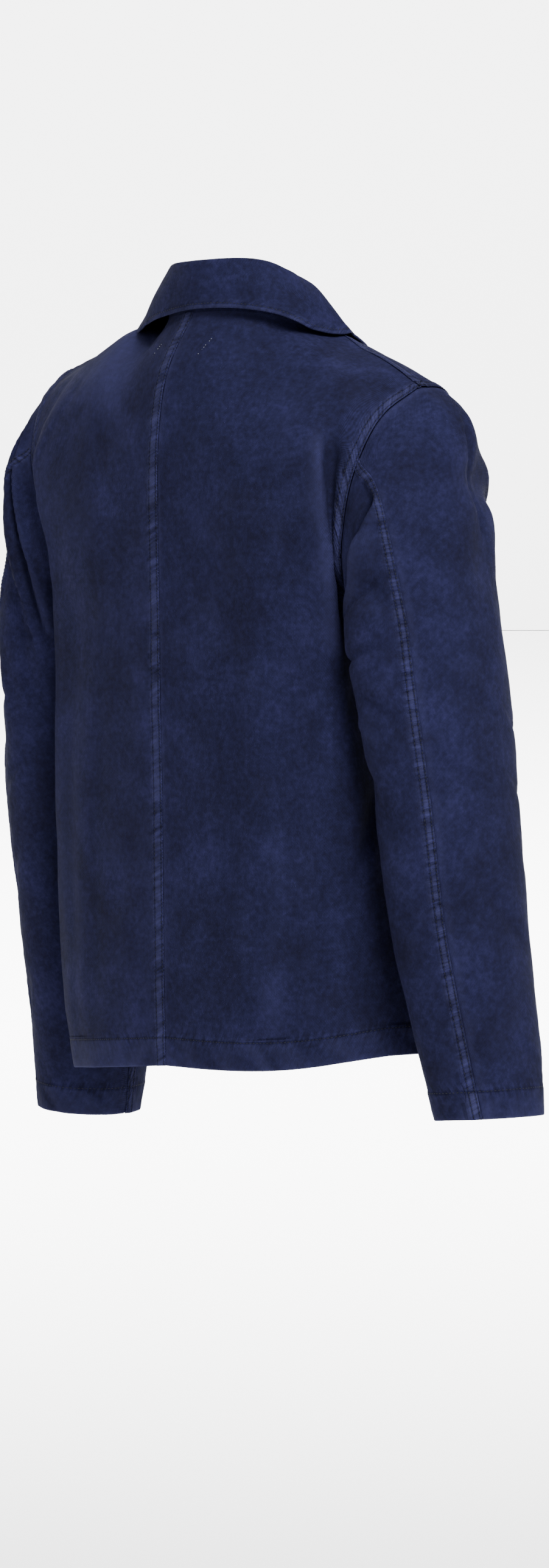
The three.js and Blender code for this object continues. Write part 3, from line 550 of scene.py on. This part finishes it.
def add_stitches(name, rows, material, pitch=3.4, length=2.5, width=0.62):
    """Rows of sewn stitches: each one a short rounded thread that dips in at both ends."""
    vertices, faces = [], []
    for line, normal in rows:
        step = np.linalg.norm(np.diff(line, axis=0), axis=1)
        place = np.concatenate([[0], np.cumsum(step)])
        for start in np.arange(pitch / 2, place[-1] - length, pitch):
            ends = [np.array([np.interp(s, place, line[:, k]) for k in range(3)])
                    for s in (start, start + length)]
            up = np.array([np.interp(start, place, normal[:, k]) for k in range(3)])
            along = ends[1] - ends[0]
            size = np.linalg.norm(along)
            if size < 0.5 * length:
                continue
            aside = np.cross(along / size, up)
            first = len(vertices)
            vertices.append(ends[0] - up * 0.25)
            for share in (0.22, 0.78):
                middle = ends[0] + along * share + up * 0.05
                vertices += [middle + aside * width / 2, middle + up * width * 0.45,
                             middle - aside * width / 2, middle - up * width * 0.45]
            vertices.append(ends[1] - up * 0.25)
            for k in range(4):
                n = (k + 1) % 4
                faces += [(first, first + 1 + k, first + 1 + n),
                          (first + 1 + k, first + 5 + k, first + 5 + n, first + 1 + n),
                          (first + 5 + k, first + 9, first + 5 + n)]
    return add_object(name, np.array(vertices) / 1000, faces, material)


def thread(name, colour):
    """Spun sewing thread: fine twist along its length and a faint shine."""
    material, tree = new_material(name)
    place = node(tree, "TexCoord", (-800, 0))
    twist = node(tree, "TexNoise", (-600, 0), Vector=place.outputs["Object"], Scale=1600.0,
                 Detail=2.0)
    ramp = node(tree, "ValToRGB", (-400, 0), Fac=twist.outputs[0])
    ramp.color_ramp.elements[0].color = tuple(0.6 * c for c in linear(colour)[:3]) + (1,)
    ramp.color_ramp.elements[1].color = linear(colour)
    bump = node(tree, "Bump", (-200, -200), Height=twist.outputs[0], Strength=0.4,
                Distance=0.0003)
    shader = node(tree, "BsdfPrincipled", (0, 0), Base_Color=ramp.outputs[0], Roughness=0.7,
                  Normal=bump.outputs[0])
    node(tree, "OutputMaterial", (300, 0), i0=shader.outputs[0])
    return material


# The last colour is mixed in where the cloth is rubbed, and as a painted highlight on fold ridges.
navy_twill = twill("navy_cotton_twill", "#19192d", "#21223f", "#2d2d53", "#4a4b76")
navy_thread = thread("navy_sewing_thread", "#13162a")

cloths = {}
body_rows = []


def body_cloth(kind, side):
    back = kind == "back"
    width = BACK_WIDTH if back else FRONT_WIDTH + BUTTON_STAND
    reach = 1 if back else 1 + BUTTON_STAND / FRONT_WIDTH
    across = spread(width, 17, 14, 4.8) / width
    along = spread(PANEL_LENGTH, 29, 12, 3.0) / PANEL_LENGTH
    U, V = np.meshgrid(across, along)
    if back:
        centre_tuck = LAP / width if side < 0 else 0.0
        U = mix(-centre_tuck, 1, U)
        V = V * (1 + LAP / PANEL_LENGTH * smooth((4 * U - 2.05) / 0.1))
    else:
        side_tuck = LAP / width * smooth((0.485 - V) / 0.02)
        U = mix(-side_tuck, reach, U)
    point = body_point(kind, side, U.ravel(), V.ravel()).reshape(*U.shape, 3)
    if not back and side < 0:
        under = np.where(U > 1, 1, smooth(1 - (np.abs(point[..., 0]) - BUTTON_STAND) / 34))
        point[..., 1] += OVERLAP_STEP * under
        point[..., 2] -= 2 * under * smooth((V - 0.86) / 0.14)
    cloth = Cloth(point, -side)
    fade = smooth(V / 0.05) * smooth((1 - V) / 0.08) * smooth(np.abs(1 - U) / 0.08) * smooth(U / 0.06)
    cloth.push(fold_height(BACK_FOLDS if back else FRONT_FOLDS, side, U, V) * fade)
    cloth.measure()
    cloth.U, cloth.V = U, V
    return cloth


for kind in ("back", "front"):
    for side, word in ((-1, "right"), (1, "left")):
        cloth = body_cloth(kind, side)
        back = kind == "back"
        U, V = cloth.U, cloth.V
        seed = (0 if back else 4) + (0 if side < 0 else 2)
        folds = fold_height(BACK_CREASES if back else FRONT_CREASES, side, U, V)
        if back:
            folds = drapes(folds, BACK_DRAPES, side, U, V)
        inner = smooth(cloth.left / 22) * smooth(cloth.right / 20) * smooth(cloth.high / 20)
        drape = crumple(cloth.left / 62 + seed, cloth.low / 190, seed) * 1.1
        drape += crumple(cloth.left / 30, cloth.low / 38 + seed, seed + 1) * 0.42
        drape += crumple(cloth.left / 9, cloth.low / 8, seed + 3) * 0.09
        relief = Relief(U.shape)
        relief.high += (folds + drape) * inner
        # The folds term is painted light: painted shade in fold troughs and a painted highlight on fold
        # ridges.
        relief.wear += 0.06 * crumple(cloth.left / 24, cloth.low / 30, seed + 5) + 0.07 * folds * inner
        relief.add(*hem(cloth.low, cloth.left, HEM_WIDTH, seed))
        if back:
            if side > 0:
                relief.add(*felled(cloth.left, cloth.low, 11.5, 0.3, 1))
            else:
                relief.high += tucked(cloth.left - LAP)
                relief.wear += 0.2 * np.exp(-((cloth.left - 4) / 3) ** 2)
            relief.add(*felled(cloth.right, cloth.low, 9, -0.4, 3))
            shoulder = smooth((4 * U - 2.0) / 0.1)
            relief.high += tucked(cloth.high - LAP) * shoulder
            neck = np.exp(-(cloth.high / 4) ** 2) * (1 - shoulder)
            relief.high += 0.5 * neck
            relief.wear += 0.4 * neck
        else:
            armhole = smooth((V - 0.49) / 0.02)
            relief.add(*felled(cloth.left, cloth.low, 9, 0.6, 2), armhole)
            relief.high += tucked(cloth.left - LAP) * (1 - armhole)
            shoulder = smooth((2.0 - 4 * U) / 0.1)
            relief.add(*felled(cloth.high, cloth.left, 8.5, 0.5, 6), shoulder)
            relief.add(*hem(cloth.right, cloth.low, FRONT_EDGE_WIDTH, seed + 1), 0.7)
        cloth.push(relief.high)
        cloth.measure()
        cloths[kind + "_" + word] = cloth
        inside = HALF_CLOTH + (1 - smooth((cloth.low - HEM_WIDTH) / 1.5))[..., None]
        piece = add_cloth(kind + "_" + word + "_cloth", cloth, navy_twill, relief, thick_in=inside)
        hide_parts(kind + "_" + word)
        body_rows.append(seam_row(cloth, "low", HEM_STITCHES))
        if back:
            for distance in (1.6, 7.6):
                body_rows.append(seam_row(cloth, "right", distance))
            if side > 0:
                for distance in (1.6, 10.1):
                    body_rows.append(seam_row(cloth, "left", distance))
        else:
            top_half = [j for j in range(V.shape[0]) if V[j, 0] > 0.497]
            for distance in (1.6, 7.6):
                body_rows.append(seam_row(cloth, "left", distance, top_half))
            shoulder_columns = [i for i in range(U.shape[1]) if 4 * U[-1, i] < 1.97]
            for distance in (1.6, 7.1):
                body_rows.append(seam_row(cloth, "high", distance, shoulder_columns))
            body_rows.append(seam_row(cloth, "right", FRONT_EDGE_STITCHES))

add_stitches("body_stitches", body_rows, navy_thread)

# Sleeves: two-piece sleeves of the same twill, the upper piece tucked under the felled rear seam of the
# under piece, and both set in under the body's felled armhole. The cuffs are turned up 25 mm.
SLEEVE_RINGS = [
    (224, 43, -226, 51, 71, 44), (234, 37, -300, 51, 72, 18), (243, 31, -382, 51, 68, 5),
    (244, 18, -484, 50, 64, 0), (253, 4, -582, 46, 57, -1), (262, -1, -645, 42, 48, 3),
]
CAP = dict(share=0.36, out=17, left_out=6, rise=15, fullness=8, under_out=7, seam_out=2.8)
SLEEVE_LENGTH = 640
# side, from angle and place, to angle and place, width in degrees, height
SLEEVE_FOLDS = [
    (-1, 118, 0.17, 60, 0.30, 16, -7), (-1, 150, 0.30, 75, 0.36, 13, -4), (-1, 128, 0.52, 80, 0.62, 16, -4),
    (-1, -60, 0.06, -25, 0.30, 14, -6), (-1, -105, 0.12, -25, 0.21, 30, -9), (1, 48, 0.10, 72, 0.26, 24, 6),
    (1, 20, 0.10, 105, 0.40, 14, -9), (1, -8, 0.14, 80, 0.46, 13, 5), (1, -25, 0.22, 50, 0.50, 12, -7),
]
SLEEVE_CREASES = [
    (-1, 100, 0.14, 48, 0.22, 7, -2.2), (-1, 130, 0.24, 66, 0.27, 6, -1.8),
    (-1, 105, 0.40, 60, 0.47, 8, -1.8), (-1, 120, 0.44, 84, 0.49, 6, 1.6),
    (-1, 40, 0.50, 8, 0.56, 9, -1.8), (-1, 20, 0.42, -20, 0.47, 9, -1.6),
    (-1, 110, 0.66, 70, 0.72, 8, -1.6), (-1, 10, 0.66, -30, 0.74, 9, -1.6),
    (-1, 60, 0.80, 30, 0.88, 8, -1.4), (-1, -40, 0.46, -80, 0.50, 8, -2.2),
    (-1, -30, 0.54, -90, 0.60, 8, -2.0), (-1, 15, 0.10, 25, 0.30, 9, -1.4),
    (1, 95, 0.42, 55, 0.47, 8, -2.0), (1, 110, 0.52, 60, 0.58, 8, -1.8), (1, 80, 0.64, 45, 0.70, 8, -1.7),
    (1, 70, 0.78, 40, 0.86, 8, -1.5), (1, 20, 0.44, -25, 0.50, 9, -1.8),
    (1, -30, 0.50, -90, 0.56, 8, -2.2), (1, 5, 0.66, -35, 0.73, 9, -1.6),
    (1, 130, 0.30, 80, 0.36, 7, -2.0), (1, -40, 0.60, -85, 0.66, 8, -1.8),
    (1, 30, 0.84, 0, 0.91, 9, -1.3), (-1, 0, 0.84, -35, 0.90, 9, -1.3), (1, 10, 0.12, -5, 0.30, 9, -1.4),
]
# side, path of (along, angle) places, width in degrees, height, steepness of the far side
SLEEVE_DRAPES = [
    (-1, [(0.228, 93), (0.266, 74), (0.297, 62), (0.33, 50)], 5, -2.4, 1.0),
    (-1, [(0.25, 98), (0.29, 78), (0.325, 60)], 5, 1.5, 1.0),
    (-1, [(0.27, 104), (0.31, 84), (0.35, 66)], 6, -2.0, 1.0),
    (-1, [(0.36, 120), (0.42, 89), (0.456, 67), (0.48, 55)], 8, -1.4, 1.0),
    (-1, [(0.06, -32), (0.10, -24), (0.144, -21), (0.194, -23), (0.219, -28), (0.27, -44)], 5, -3.6, 0.5),
    (-1, [(0.10, -60), (0.17, -50), (0.24, -48), (0.30, -60)], 16, 1.8, 1.0),
    (1, [(0.07, 36), (0.116, 62), (0.15, 86), (0.175, 95), (0.194, 104), (0.256, 112), (0.33, 124)],
     14, -8.0, 0.3),
    (1, [(0.07, 50), (0.116, 77), (0.15, 99), (0.175, 108), (0.194, 116), (0.256, 124), (0.33, 134)],
     9, 2.5, 0.8),
    (1, [(0.23, 40), (0.256, 60), (0.275, 84), (0.322, 101), (0.38, 118)], 10, -5.0, 0.35),
]
# Creases that run round the sleeve: side, path of (angle, along) places, width as a share of the length
SLEEVE_TUCKS = [
    (-1, [(50, 0.150), (65, 0.150), (73, 0.153), (86, 0.156), (109, 0.152), (135, 0.148)],
     0.017, -9.0, 0.6),
    (-1, [(55, 0.115), (80, 0.115), (130, 0.105)], 0.04, -4.5, 0.9),
    (-1, [(55, 0.188), (80, 0.186), (130, 0.182)], 0.026, 4.0, 1.6),
]


def armhole_point(side, angle):
    turn = np.mod(angle, 360)
    on_back = turn <= 180
    one, none = np.ones(len(turn)), np.zeros(len(turn))
    back = body_point("back", side, one, (10 - 5 * np.minimum(turn, 180) / 180) / 10)
    front = body_point("front", side, none, (5 + 5 * (np.maximum(turn, 180) - 180) / 180) / 10)
    return np.where(on_back[:, None], back, front)


def sleeve_point(side, angle, along):
    turn = np.radians(angle)
    start = armhole_point(side, angle)
    outer = (1 + np.cos(turn)) / 2
    start[:, 0] += side * CAP["seam_out"] * (1 - outer)
    rings = []
    for x, y, z, wide, fore, tilt in SLEEVE_RINGS:
        reach = np.where(np.cos(turn) < 0, 0.86, 1.0)
        drop = 28 * smooth((-200 - z) / 450) if side > 0 else 0
        depth = fore * 0.95 if side > 0 else fore
        rings.append(points3(side * (x + wide * reach * np.cos(turn)), y + depth * np.sin(turn),
                             z + tilt * np.cos(turn) - drop))
    cap = mix(start, rings[0], CAP["share"])
    cap[:, 0] += side * mix(CAP["under_out"], CAP["left_out" if side > 0 else "out"], outer)
    cap[:, 1] += CAP["fullness"] * np.sin(turn)
    cap[:, 2] += CAP["rise"] * outer
    column = [start, cap, *rings]
    return curve(column, 2 * start - cap, 2 * rings[-1] - rings[-2], along * 7)


def rear_seam(along):
    return mix(66, 44, smooth(along * 7 / 2.6))


sleeve_rows = []
for side, word in ((-1, "right"), (1, "left")):
    for part in ("under", "top"):
        top = part == "top"
        wide = 215 if top else 150
        across = spread(wide, 14, 13, 4.2) / wide
        place = spread(SLEEVE_LENGTH, 10, 29, 3.1) / SLEEVE_LENGTH
        U, V = np.meshgrid(across, place)
        along = mix(-2.5 / SLEEVE_LENGTH, 1, V)
        rear = rear_seam(along)
        if top:
            angle = mix(-170.0, rear + 2.8, U)
        else:
            angle = mix(rear, 190.0 + 2.8, U)
        point = sleeve_point(side, angle.ravel(), along.ravel()).reshape(*U.shape, 3)
        cloth = Cloth(point, -side)
        wrapped = np.where(angle > 200, angle - 360, angle)
        fade = smooth(along / 0.05) * smooth((1 - along) / 0.06)
        cloth.push(fold_height(SLEEVE_FOLDS, side, wrapped, along) * fade)
        cloth.measure()
        seed = (1 if top else 3) + (0 if side < 0 else 4)
        inner = smooth(cloth.left / 16) * smooth(cloth.right / 16) * smooth(cloth.low / 20)
        folds = fold_height(SLEEVE_CREASES, side, wrapped, along)
        folds = drapes(folds, SLEEVE_DRAPES, side, wrapped, along, 0.06)
        folds = drapes(folds, SLEEVE_TUCKS, side, along, wrapped, 16)
        drape = crumple(cloth.left / 44 + seed, cloth.low / 90, seed) * 0.9
        drape += crumple(cloth.left / 26 + 0.03 * cloth.low, cloth.low / 30, seed + 1) * 0.5
        drape += crumple(cloth.left / 9, cloth.low / 8, seed + 3) * 0.09
        relief = Relief(U.shape)
        relief.high += (folds + drape) * inner
        # The folds term is painted light: painted shade in fold troughs and a painted highlight on fold
        # ridges.
        relief.wear += 0.06 * crumple(cloth.left / 24, cloth.low / 30, seed + 5) + 0.07 * folds * inner
        relief.add(*hem(cloth.high, cloth.left, HEM_WIDTH, seed))
        relief.high += tucked(cloth.low - LAP) + tucked(cloth.right - LAP)
        relief.wear += 0.2 * np.exp(-((cloth.low - 5) / 3) ** 2)
        if top:
            relief.add(*felled(cloth.left, cloth.low, 8, 0.5, seed))
            relief.wear += 0.15 * np.exp(-((cloth.right - 6) / 4) ** 2)
        else:
            relief.add(*felled(cloth.left, cloth.low, 8.2, 0.9, seed))
        cloth.push(relief.high)
        cloth.measure()
        inside = HALF_CLOTH + (1 - smooth((cloth.high - HEM_WIDTH) / 1.5))[..., None]
        name = "sleeve_" + word + "_" + part
        piece = add_cloth(name + "_cloth", cloth, navy_twill, relief, thick_in=inside)
        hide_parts(name)
        sleeve_rows.append(seam_row(cloth, "high", HEM_STITCHES))
        for distance in (1.5, 6.8):
            sleeve_rows.append(seam_row(cloth, "left", distance))

add_stitches("sleeve_stitches", sleeve_rows, navy_thread)

# Collar: one turned-down piece of doubled twill, sewn in the neck seam, rolled over a stand and pressed
# to a leaf. One row of stitches runs 4 mm inside its edge, and the edge is rubbed pale.
COLLAR_CLOTH = 2.4
COLLAR_STITCHES = 4.2
COLLAR_END = 173
ROLL = 3.4


def outward(surface, u, v, turn, probe=0.01):
    run = surface(u + probe, v) - surface(u - probe, v)
    rise = surface(u, v + probe) - surface(u, v - probe)
    normal = np.cross(run, rise) * turn
    return normal / np.linalg.norm(normal, axis=-1, keepdims=True)


def unit(v):
    return v / np.linalg.norm(v, axis=-1, keepdims=True)


def collar_point(angle, share):
    side = np.where(angle < 0, -1.0, 1.0)
    turn = np.abs(angle)
    seam, fold = neck_ring(NECK, turn), neck_ring(FOLD, turn)
    free = neck_ring(LEAF, np.minimum(turn, SEAM_ANGLE))
    gone = np.maximum(0, turn - SEAM_ANGLE) / (180 - SEAM_ANGLE)
    across, along = mix(0.45, 0.7, gone), mix(0.99, 0.9, gone)
    plain = lambda u, v: body_shape("front", u, v)
    lift = outward(plain, across, along, -1)
    lying = plain(across, along) + lift * 5.5
    edge = mix(free, lying, smooth((turn - 76) / (SEAM_ANGLE - 76))[:, None])
    flare = np.where(side > 0, np.sin(np.radians(np.minimum(turn, 90))) * smooth((130 - turn) / 50), 0)
    edge[:, 0] += 24 * flare
    edge[:, 2] -= 10 * flare
    away = edge - seam
    away[:, 2] = 0
    away, up = unit(away), unit(fold - seam)
    seam = seam + up * 1.05
    inner_top, crown = fold - up * ROLL, fold + away * ROLL
    outer_top = fold - up * ROLL + away * 2 * ROLL
    belly = mix(outer_top, edge, 0.5) + away * 0.5 + np.array([0, 0, 3])
    over_seam = mix(seam, edge, 0.25) + lift * 6.5
    belly = mix(belly, over_seam, smooth((turn - 86) / 34)[:, None])
    profile = [seam, mix(seam, inner_top, 0.5), inner_top, crown, outer_top, belly, edge]
    point = curve(profile, 2 * seam - profile[1], 2 * edge - belly, share * 6)
    point[:, 0] *= side
    return worn(point, mix(1, smooth((turn - 50) / 30), share))


around = np.linspace(-COLLAR_END, COLLAR_END, 250)
profile = np.concatenate([np.linspace(-0.05, 0.36, 16), np.linspace(0.38, 0.66, 16),
                          np.linspace(0.675, 1.0, 36)])
U, V = np.meshgrid(around, profile)
cloth = Cloth(collar_point(U.ravel(), V.ravel()).reshape(*U.shape, 3), 1)
edge_row = np.exp(-((cloth.high - COLLAR_STITCHES) / 0.9) ** 2)
near_edge = smooth((9 - cloth.high) / 5)
ripple = crumple((cloth.left + 0.6 * cloth.high) / 9, cloth.high / 20, 2)
relief = Relief(U.shape)
relief.high += -0.4 * edge_row + 0.3 * ripple * near_edge + 0.35 * near_edge
relief.high += 0.5 * crumple(cloth.left / 38, cloth.high / 28, 5) * smooth(cloth.high / 14)
relief.high *= smooth((V - 0.5) / 0.1)
roll_wear = np.exp(-((V - 0.5) / 0.045) ** 2)
end_edge = np.exp(-np.minimum(cloth.left, cloth.right) / 1.6)
relief.wear += 0.55 * np.exp(-cloth.high / 1.3) + 0.2 * roll_wear + 0.4 * end_edge
# The ripple term follows the ripple's height: real fading on its ridges, painted shade in its hollows; the
# sunken stitch row is darkened as painted shade.
relief.wear += 0.2 * ripple * near_edge + 0.08 * near_edge - 0.45 * edge_row
outside = near_edge * smooth((V - 0.5) / 0.1)
relief.strip = np.stack([cloth.left + 0.5 * cloth.high, cloth.high, 0.45 * outside], axis=-1)
cloth.push(relief.high)
cloth.measure()
half = COLLAR_CLOTH / 2
piece = add_cloth("collar_cloth", cloth, navy_twill, relief, thick_out=half, thick_in=half)
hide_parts("collar")
line, normal = seam_row(cloth, "high", COLLAR_STITCHES)
add_stitches("collar_stitches", [(line + normal * (half - HALF_CLOTH), normal)], navy_thread)

# Two patch pockets: single twill, edges turned in and sewn down with two rows, the mouth turned down 25 mm.
POCKET = dict(first=3, last=12, columns=15, bottom=2, top=8, rows=24)
POCKET_CLOTH = 1.3
POCKET_SIZE = (137, 178)
POCKET_STITCHES = (1.8, 7.2)
pocket_rows = []
for side, word in ((-1, "right"), (1, "left")):
    across = spread(POCKET_SIZE[0], 11, 11, 3.4) / POCKET_SIZE[0]
    place = spread(POCKET_SIZE[1], 11, 28, 3.4) / POCKET_SIZE[1]
    U, V = np.meshgrid(across, place)
    reach = 1 + BUTTON_STAND / FRONT_WIDTH
    panel_u = mix(0.0007, reach, mix(POCKET["first"], POCKET["last"], U) / POCKET["columns"])
    panel_v = mix(POCKET["bottom"], POCKET["top"], V) / POCKET["rows"]
    point = body_point("front", side, panel_u.ravel(), panel_v.ravel()).reshape(*U.shape, 3)
    cloth = Cloth(point, -side)
    fade = smooth(panel_v / 0.05) * smooth(panel_u / 0.06) * smooth(np.abs(1 - panel_u) / 0.08)
    folds = fold_height(FRONT_FOLDS, side, panel_u, panel_v) * fade
    folds = folds + fold_height(FRONT_CREASES, side, panel_u, panel_v)
    cloth.push(folds + 1.7 + POCKET_CLOTH / 2)
    cloth.measure()
    inner = smooth(cloth.left / 14) * smooth(cloth.right / 14) * smooth(cloth.low / 14)
    rim = np.minimum(np.minimum(cloth.left, cloth.right), cloth.low)
    rows = sum(np.exp(-((rim - row) / 0.9) ** 2) for row in POCKET_STITCHES)
    ripple = crumple((cloth.left + cloth.low) / 7, rim / 20, 4) * np.exp(-(rim / 9) ** 2)
    relief = Relief(U.shape)
    relief.add(*hem(cloth.high, cloth.left, HEM_WIDTH, 3))
    belly = (0.8 + 0.5 * crumple(cloth.left / 40, cloth.low / 50, 2)) * inner
    relief.high += belly - 0.3 * rows + 0.25 * ripple
    # The pale rim is real wear; the ripple is real fading on its ridges and painted shade in its hollows,
    # and the sunken stitch rows are darkened as painted shade.
    relief.wear += 0.3 * np.exp(-rim / 1.6) + 0.2 * ripple - 0.4 * rows
    relief.add(0.0, 0.0, np.stack([cloth.left + cloth.low, rim, np.exp(-(rim / 9) ** 2)], axis=-1))
    cloth.push(relief.high)
    cloth.measure()
    half = POCKET_CLOTH / 2
    piece = add_cloth("pocket_" + word + "_cloth", cloth, navy_twill, relief, thick_out=half, thick_in=half)
    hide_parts("pocket_" + word)
    for distance in POCKET_STITCHES:
        for edge in ("left", "right", "low"):
            pocket_rows.append(seam_row(cloth, edge, distance))
    pocket_rows.append(seam_row(cloth, "high", HEM_STITCHES))
add_stitches("pocket_stitches", pocket_rows, navy_thread)

# Back neck: two short slanted rows of pale hand tacks, one on each side of the centre seam.
TACKS = [("left", (28, -4), (35, -17)), ("right", (-35, 0), (-29, -14))]
tack_thread = thread("pale_tack_thread", "#b4b8c6")
tack_rows = []
for word, start, end in TACKS:
    cloth = cloths["back_" + word]
    line, normals = [], []
    for share in np.linspace(0, 1, 14):
        x, z = mix(np.array(start), np.array(end), share)
        away = (cloth.point[..., 0] - x) ** 2 + (cloth.point[..., 2] - z) ** 2
        j, i = np.unravel_index(np.argmin(away), away.shape)
        y = cloth.point[j, i, 1]
        normals.append(cloth.normal[j, i])
        line.append(np.array([x, y, z]) + cloth.normal[j, i] * 0.7)
    tack_rows.append((np.array(line), np.array(normals)))
add_stitches("neck_tacks", tack_rows, tack_thread, pitch=2.6, length=1.1, width=0.5)

# Buttons: five turned resin buttons from the frame, sewn through four holes, with a worked buttonhole
# behind each one on the left front.
button_resin, tree = new_material("navy_button_resin")
place = node(tree, "TexCoord", (-900, 0))
swirl = node(tree, "TexNoise", (-700, 0), Vector=place.outputs["Object"], Scale=140.0,
             Detail=4.0, Distortion=1.5)
ramp = node(tree, "ValToRGB", (-450, 0), Fac=swirl.outputs[0])
ramp.color_ramp.elements[0].position = 0.35
ramp.color_ramp.elements[0].color = linear("#151929")
ramp.color_ramp.elements[1].position = 0.75
ramp.color_ramp.elements[1].color = linear("#2c3249")
scratch = node(tree, "TexNoise", (-700, -250), Vector=place.outputs["Object"], Scale=900.0,
               Detail=3.0)
rough = node(tree, "MapRange", (-450, -250), Value=scratch.outputs[0], i3=0.5, i4=0.68)
bump = node(tree, "Bump", (-250, -300), Height=scratch.outputs[0], Strength=0.15, Distance=0.0002)
shader = node(tree, "BsdfPrincipled", (0, 0), Base_Color=ramp.outputs[0],
              Roughness=rough.outputs[0], Normal=bump.outputs[0])
shader.inputs["Specular IOR Level"].default_value = 0.2
node(tree, "OutputMaterial", (300, 0), i0=shader.outputs[0])
HOLE_PLACE = 2.2
BUTTONHOLE_HALF = 12
button_thread_rows, buttonhole_rows = [], []
front = cloths["front_left"]
for number in range(1, 6):
    name = "button_" + str(number)
    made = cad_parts[name]
    made.data.materials.clear()
    made.data.materials.append(button_resin)
    corners = np.array([v.co for v in made.data.vertices]) * 1000
    centre = corners.mean(axis=0)
    away = ((front.point - centre) ** 2).sum(axis=-1)
    j, i = np.unravel_index(np.argmin(away), away.shape)
    up = front.normal[j, i]
    aside = unit(np.cross(np.array([0, 0, 1.0]), up))
    tall = np.cross(up, aside)
    face = centre + up * (np.max((corners - centre) @ up) + 0.15)
    for a, b in (((-1, -1), (1, -1)), ((-1, 1), (1, 1))):
        ends = [face + aside * HOLE_PLACE * p[0] + tall * HOLE_PLACE * p[1] for p in (a, b)]
        for shift in (-0.3, 0.3):
            line = np.linspace(ends[0] + tall * shift, ends[1] + tall * shift, 8)
            button_thread_rows.append((line, np.repeat(up[None], 8, axis=0)))
    seat = front.point[j, i] + up * 0.8
    for k in np.linspace(-BUTTONHOLE_HALF, BUTTONHOLE_HALF, 33):
        for half in (-1, 1):
            p = seat + aside * k + tall * half * 0.3
            line = np.linspace(p, p + tall * half * 1.7, 4)
            buttonhole_rows.append((line, np.repeat(up[None], 4, axis=0)))
sewn = add_stitches("button_threads", button_thread_rows, navy_thread, pitch=0.8, length=3.5, width=0.6)
add_stitches("buttonholes", buttonhole_rows, navy_thread, pitch=0.4, length=1.4, width=0.55)

# Studio: a pale floor, a pale paper backdrop that curves up far behind, beyond the place of every camera,
# soft daylight, one large soft lamp for the jacket and one above the paper that leans away from the jacket.
FLOOR_Z = -1.55
FLOOR_HALF = 40.0
BACKDROP_HALF = 14.0
BACKDROP_START, BACKDROP_BEND, BACKDROP_TOP = 26.0, 3, 9.0
VIEW_AZIMUTH = 230
bend = [(BACKDROP_START + BACKDROP_BEND * math.sin(a), BACKDROP_BEND - BACKDROP_BEND * math.cos(a))
        for a in np.linspace(0, 1.5, 14)]
bend.append((BACKDROP_START + BACKDROP_BEND + 0.1, BACKDROP_TOP))
view_from = math.radians(VIEW_AZIMUTH)
into = np.array([-math.sin(view_from), math.cos(view_from)])
aside = np.array([math.cos(view_from), math.sin(view_from)])
paper, tree = new_material("pale_studio_paper")
grain = node(tree, "TexNoise", (-400, 0), Scale=3.0, Detail=3.0)
ramp = node(tree, "ValToRGB", (-200, 0), Fac=grain.outputs[0])
ramp.color_ramp.elements[0].color = linear("#ececec")
ramp.color_ramp.elements[1].color = linear("#f2f2f2")
shader = node(tree, "BsdfPrincipled", (0, 0), Base_Color=ramp.outputs[0], Roughness=0.95)
node(tree, "OutputMaterial", (500, 0), i0=shader.outputs[0])
flat_floor = [(FLOOR_HALF * x, FLOOR_HALF * y, FLOOR_Z) for x, y in ((-1, -1), (1, -1), (1, 1), (-1, 1))]
curved = [(*(into * d + aside * s), FLOOR_Z + 0.002 + h) for d, h in bend
          for s in (-BACKDROP_HALF, BACKDROP_HALF)]
strips = [(2 * k, 2 * k + 1, 2 * k + 3, 2 * k + 2) for k in range(len(bend) - 1)]
smooth_mesh("studio_floor", flat_floor, [(0, 1, 2, 3)], paper)
smooth_mesh("studio_backdrop", curved, strips, paper)

world = bpy.data.worlds.new("soft_daylight")
bpy.context.scene.world = world
world.use_nodes = True
world.node_tree.nodes["Background"].inputs[0].default_value = linear("#f4f5f8")
world.node_tree.nodes["Background"].inputs[1].default_value = 0.5


def from_side(azimuth, distance, height):
    turn = math.radians(azimuth)
    return distance * math.sin(turn), -distance * math.cos(turn), height


def add_lamp(name, place, aim, size, power):
    lamp = bpy.data.lights.new(name, "AREA")
    lamp.energy, lamp.size = power, size
    made = put_in_scene(name, lamp)
    made.location = place
    made.rotation_euler = (Vector(aim) - made.location).to_track_quat("-Z", "Y").to_euler()


JACKET_MIDDLE = (0, 0, -0.35)
add_lamp("key_softbox", from_side(250, 3.1, 2.9), JACKET_MIDDLE, 2.0, 265)
add_lamp("fill_softbox", from_side(190, 4.0, 1.6), JACKET_MIDDLE, 2.4, 15)
add_lamp("backdrop_softbox", (*(into * 13), 8.3), (*(into * 19.1), FLOOR_Z), 16, 20000)

# Camera: on the wearer's right behind the shoulder, slightly above the chest, a long lens.
camera = bpy.data.cameras.new("camera")
camera.lens = 271.7
camera.sensor_width = 36
camera.clip_end = 60
holder = put_in_scene("camera", camera)
target = Vector((*(-0.009 * aside), -0.38))
place = from_side(VIEW_AZIMUTH, 10, 0.25)
holder.location = (target.x + place[0], target.y + place[1], place[2])
holder.rotation_euler = (target - holder.location).to_track_quat("-Z", "Y").to_euler()
bpy.context.scene.camera = holder
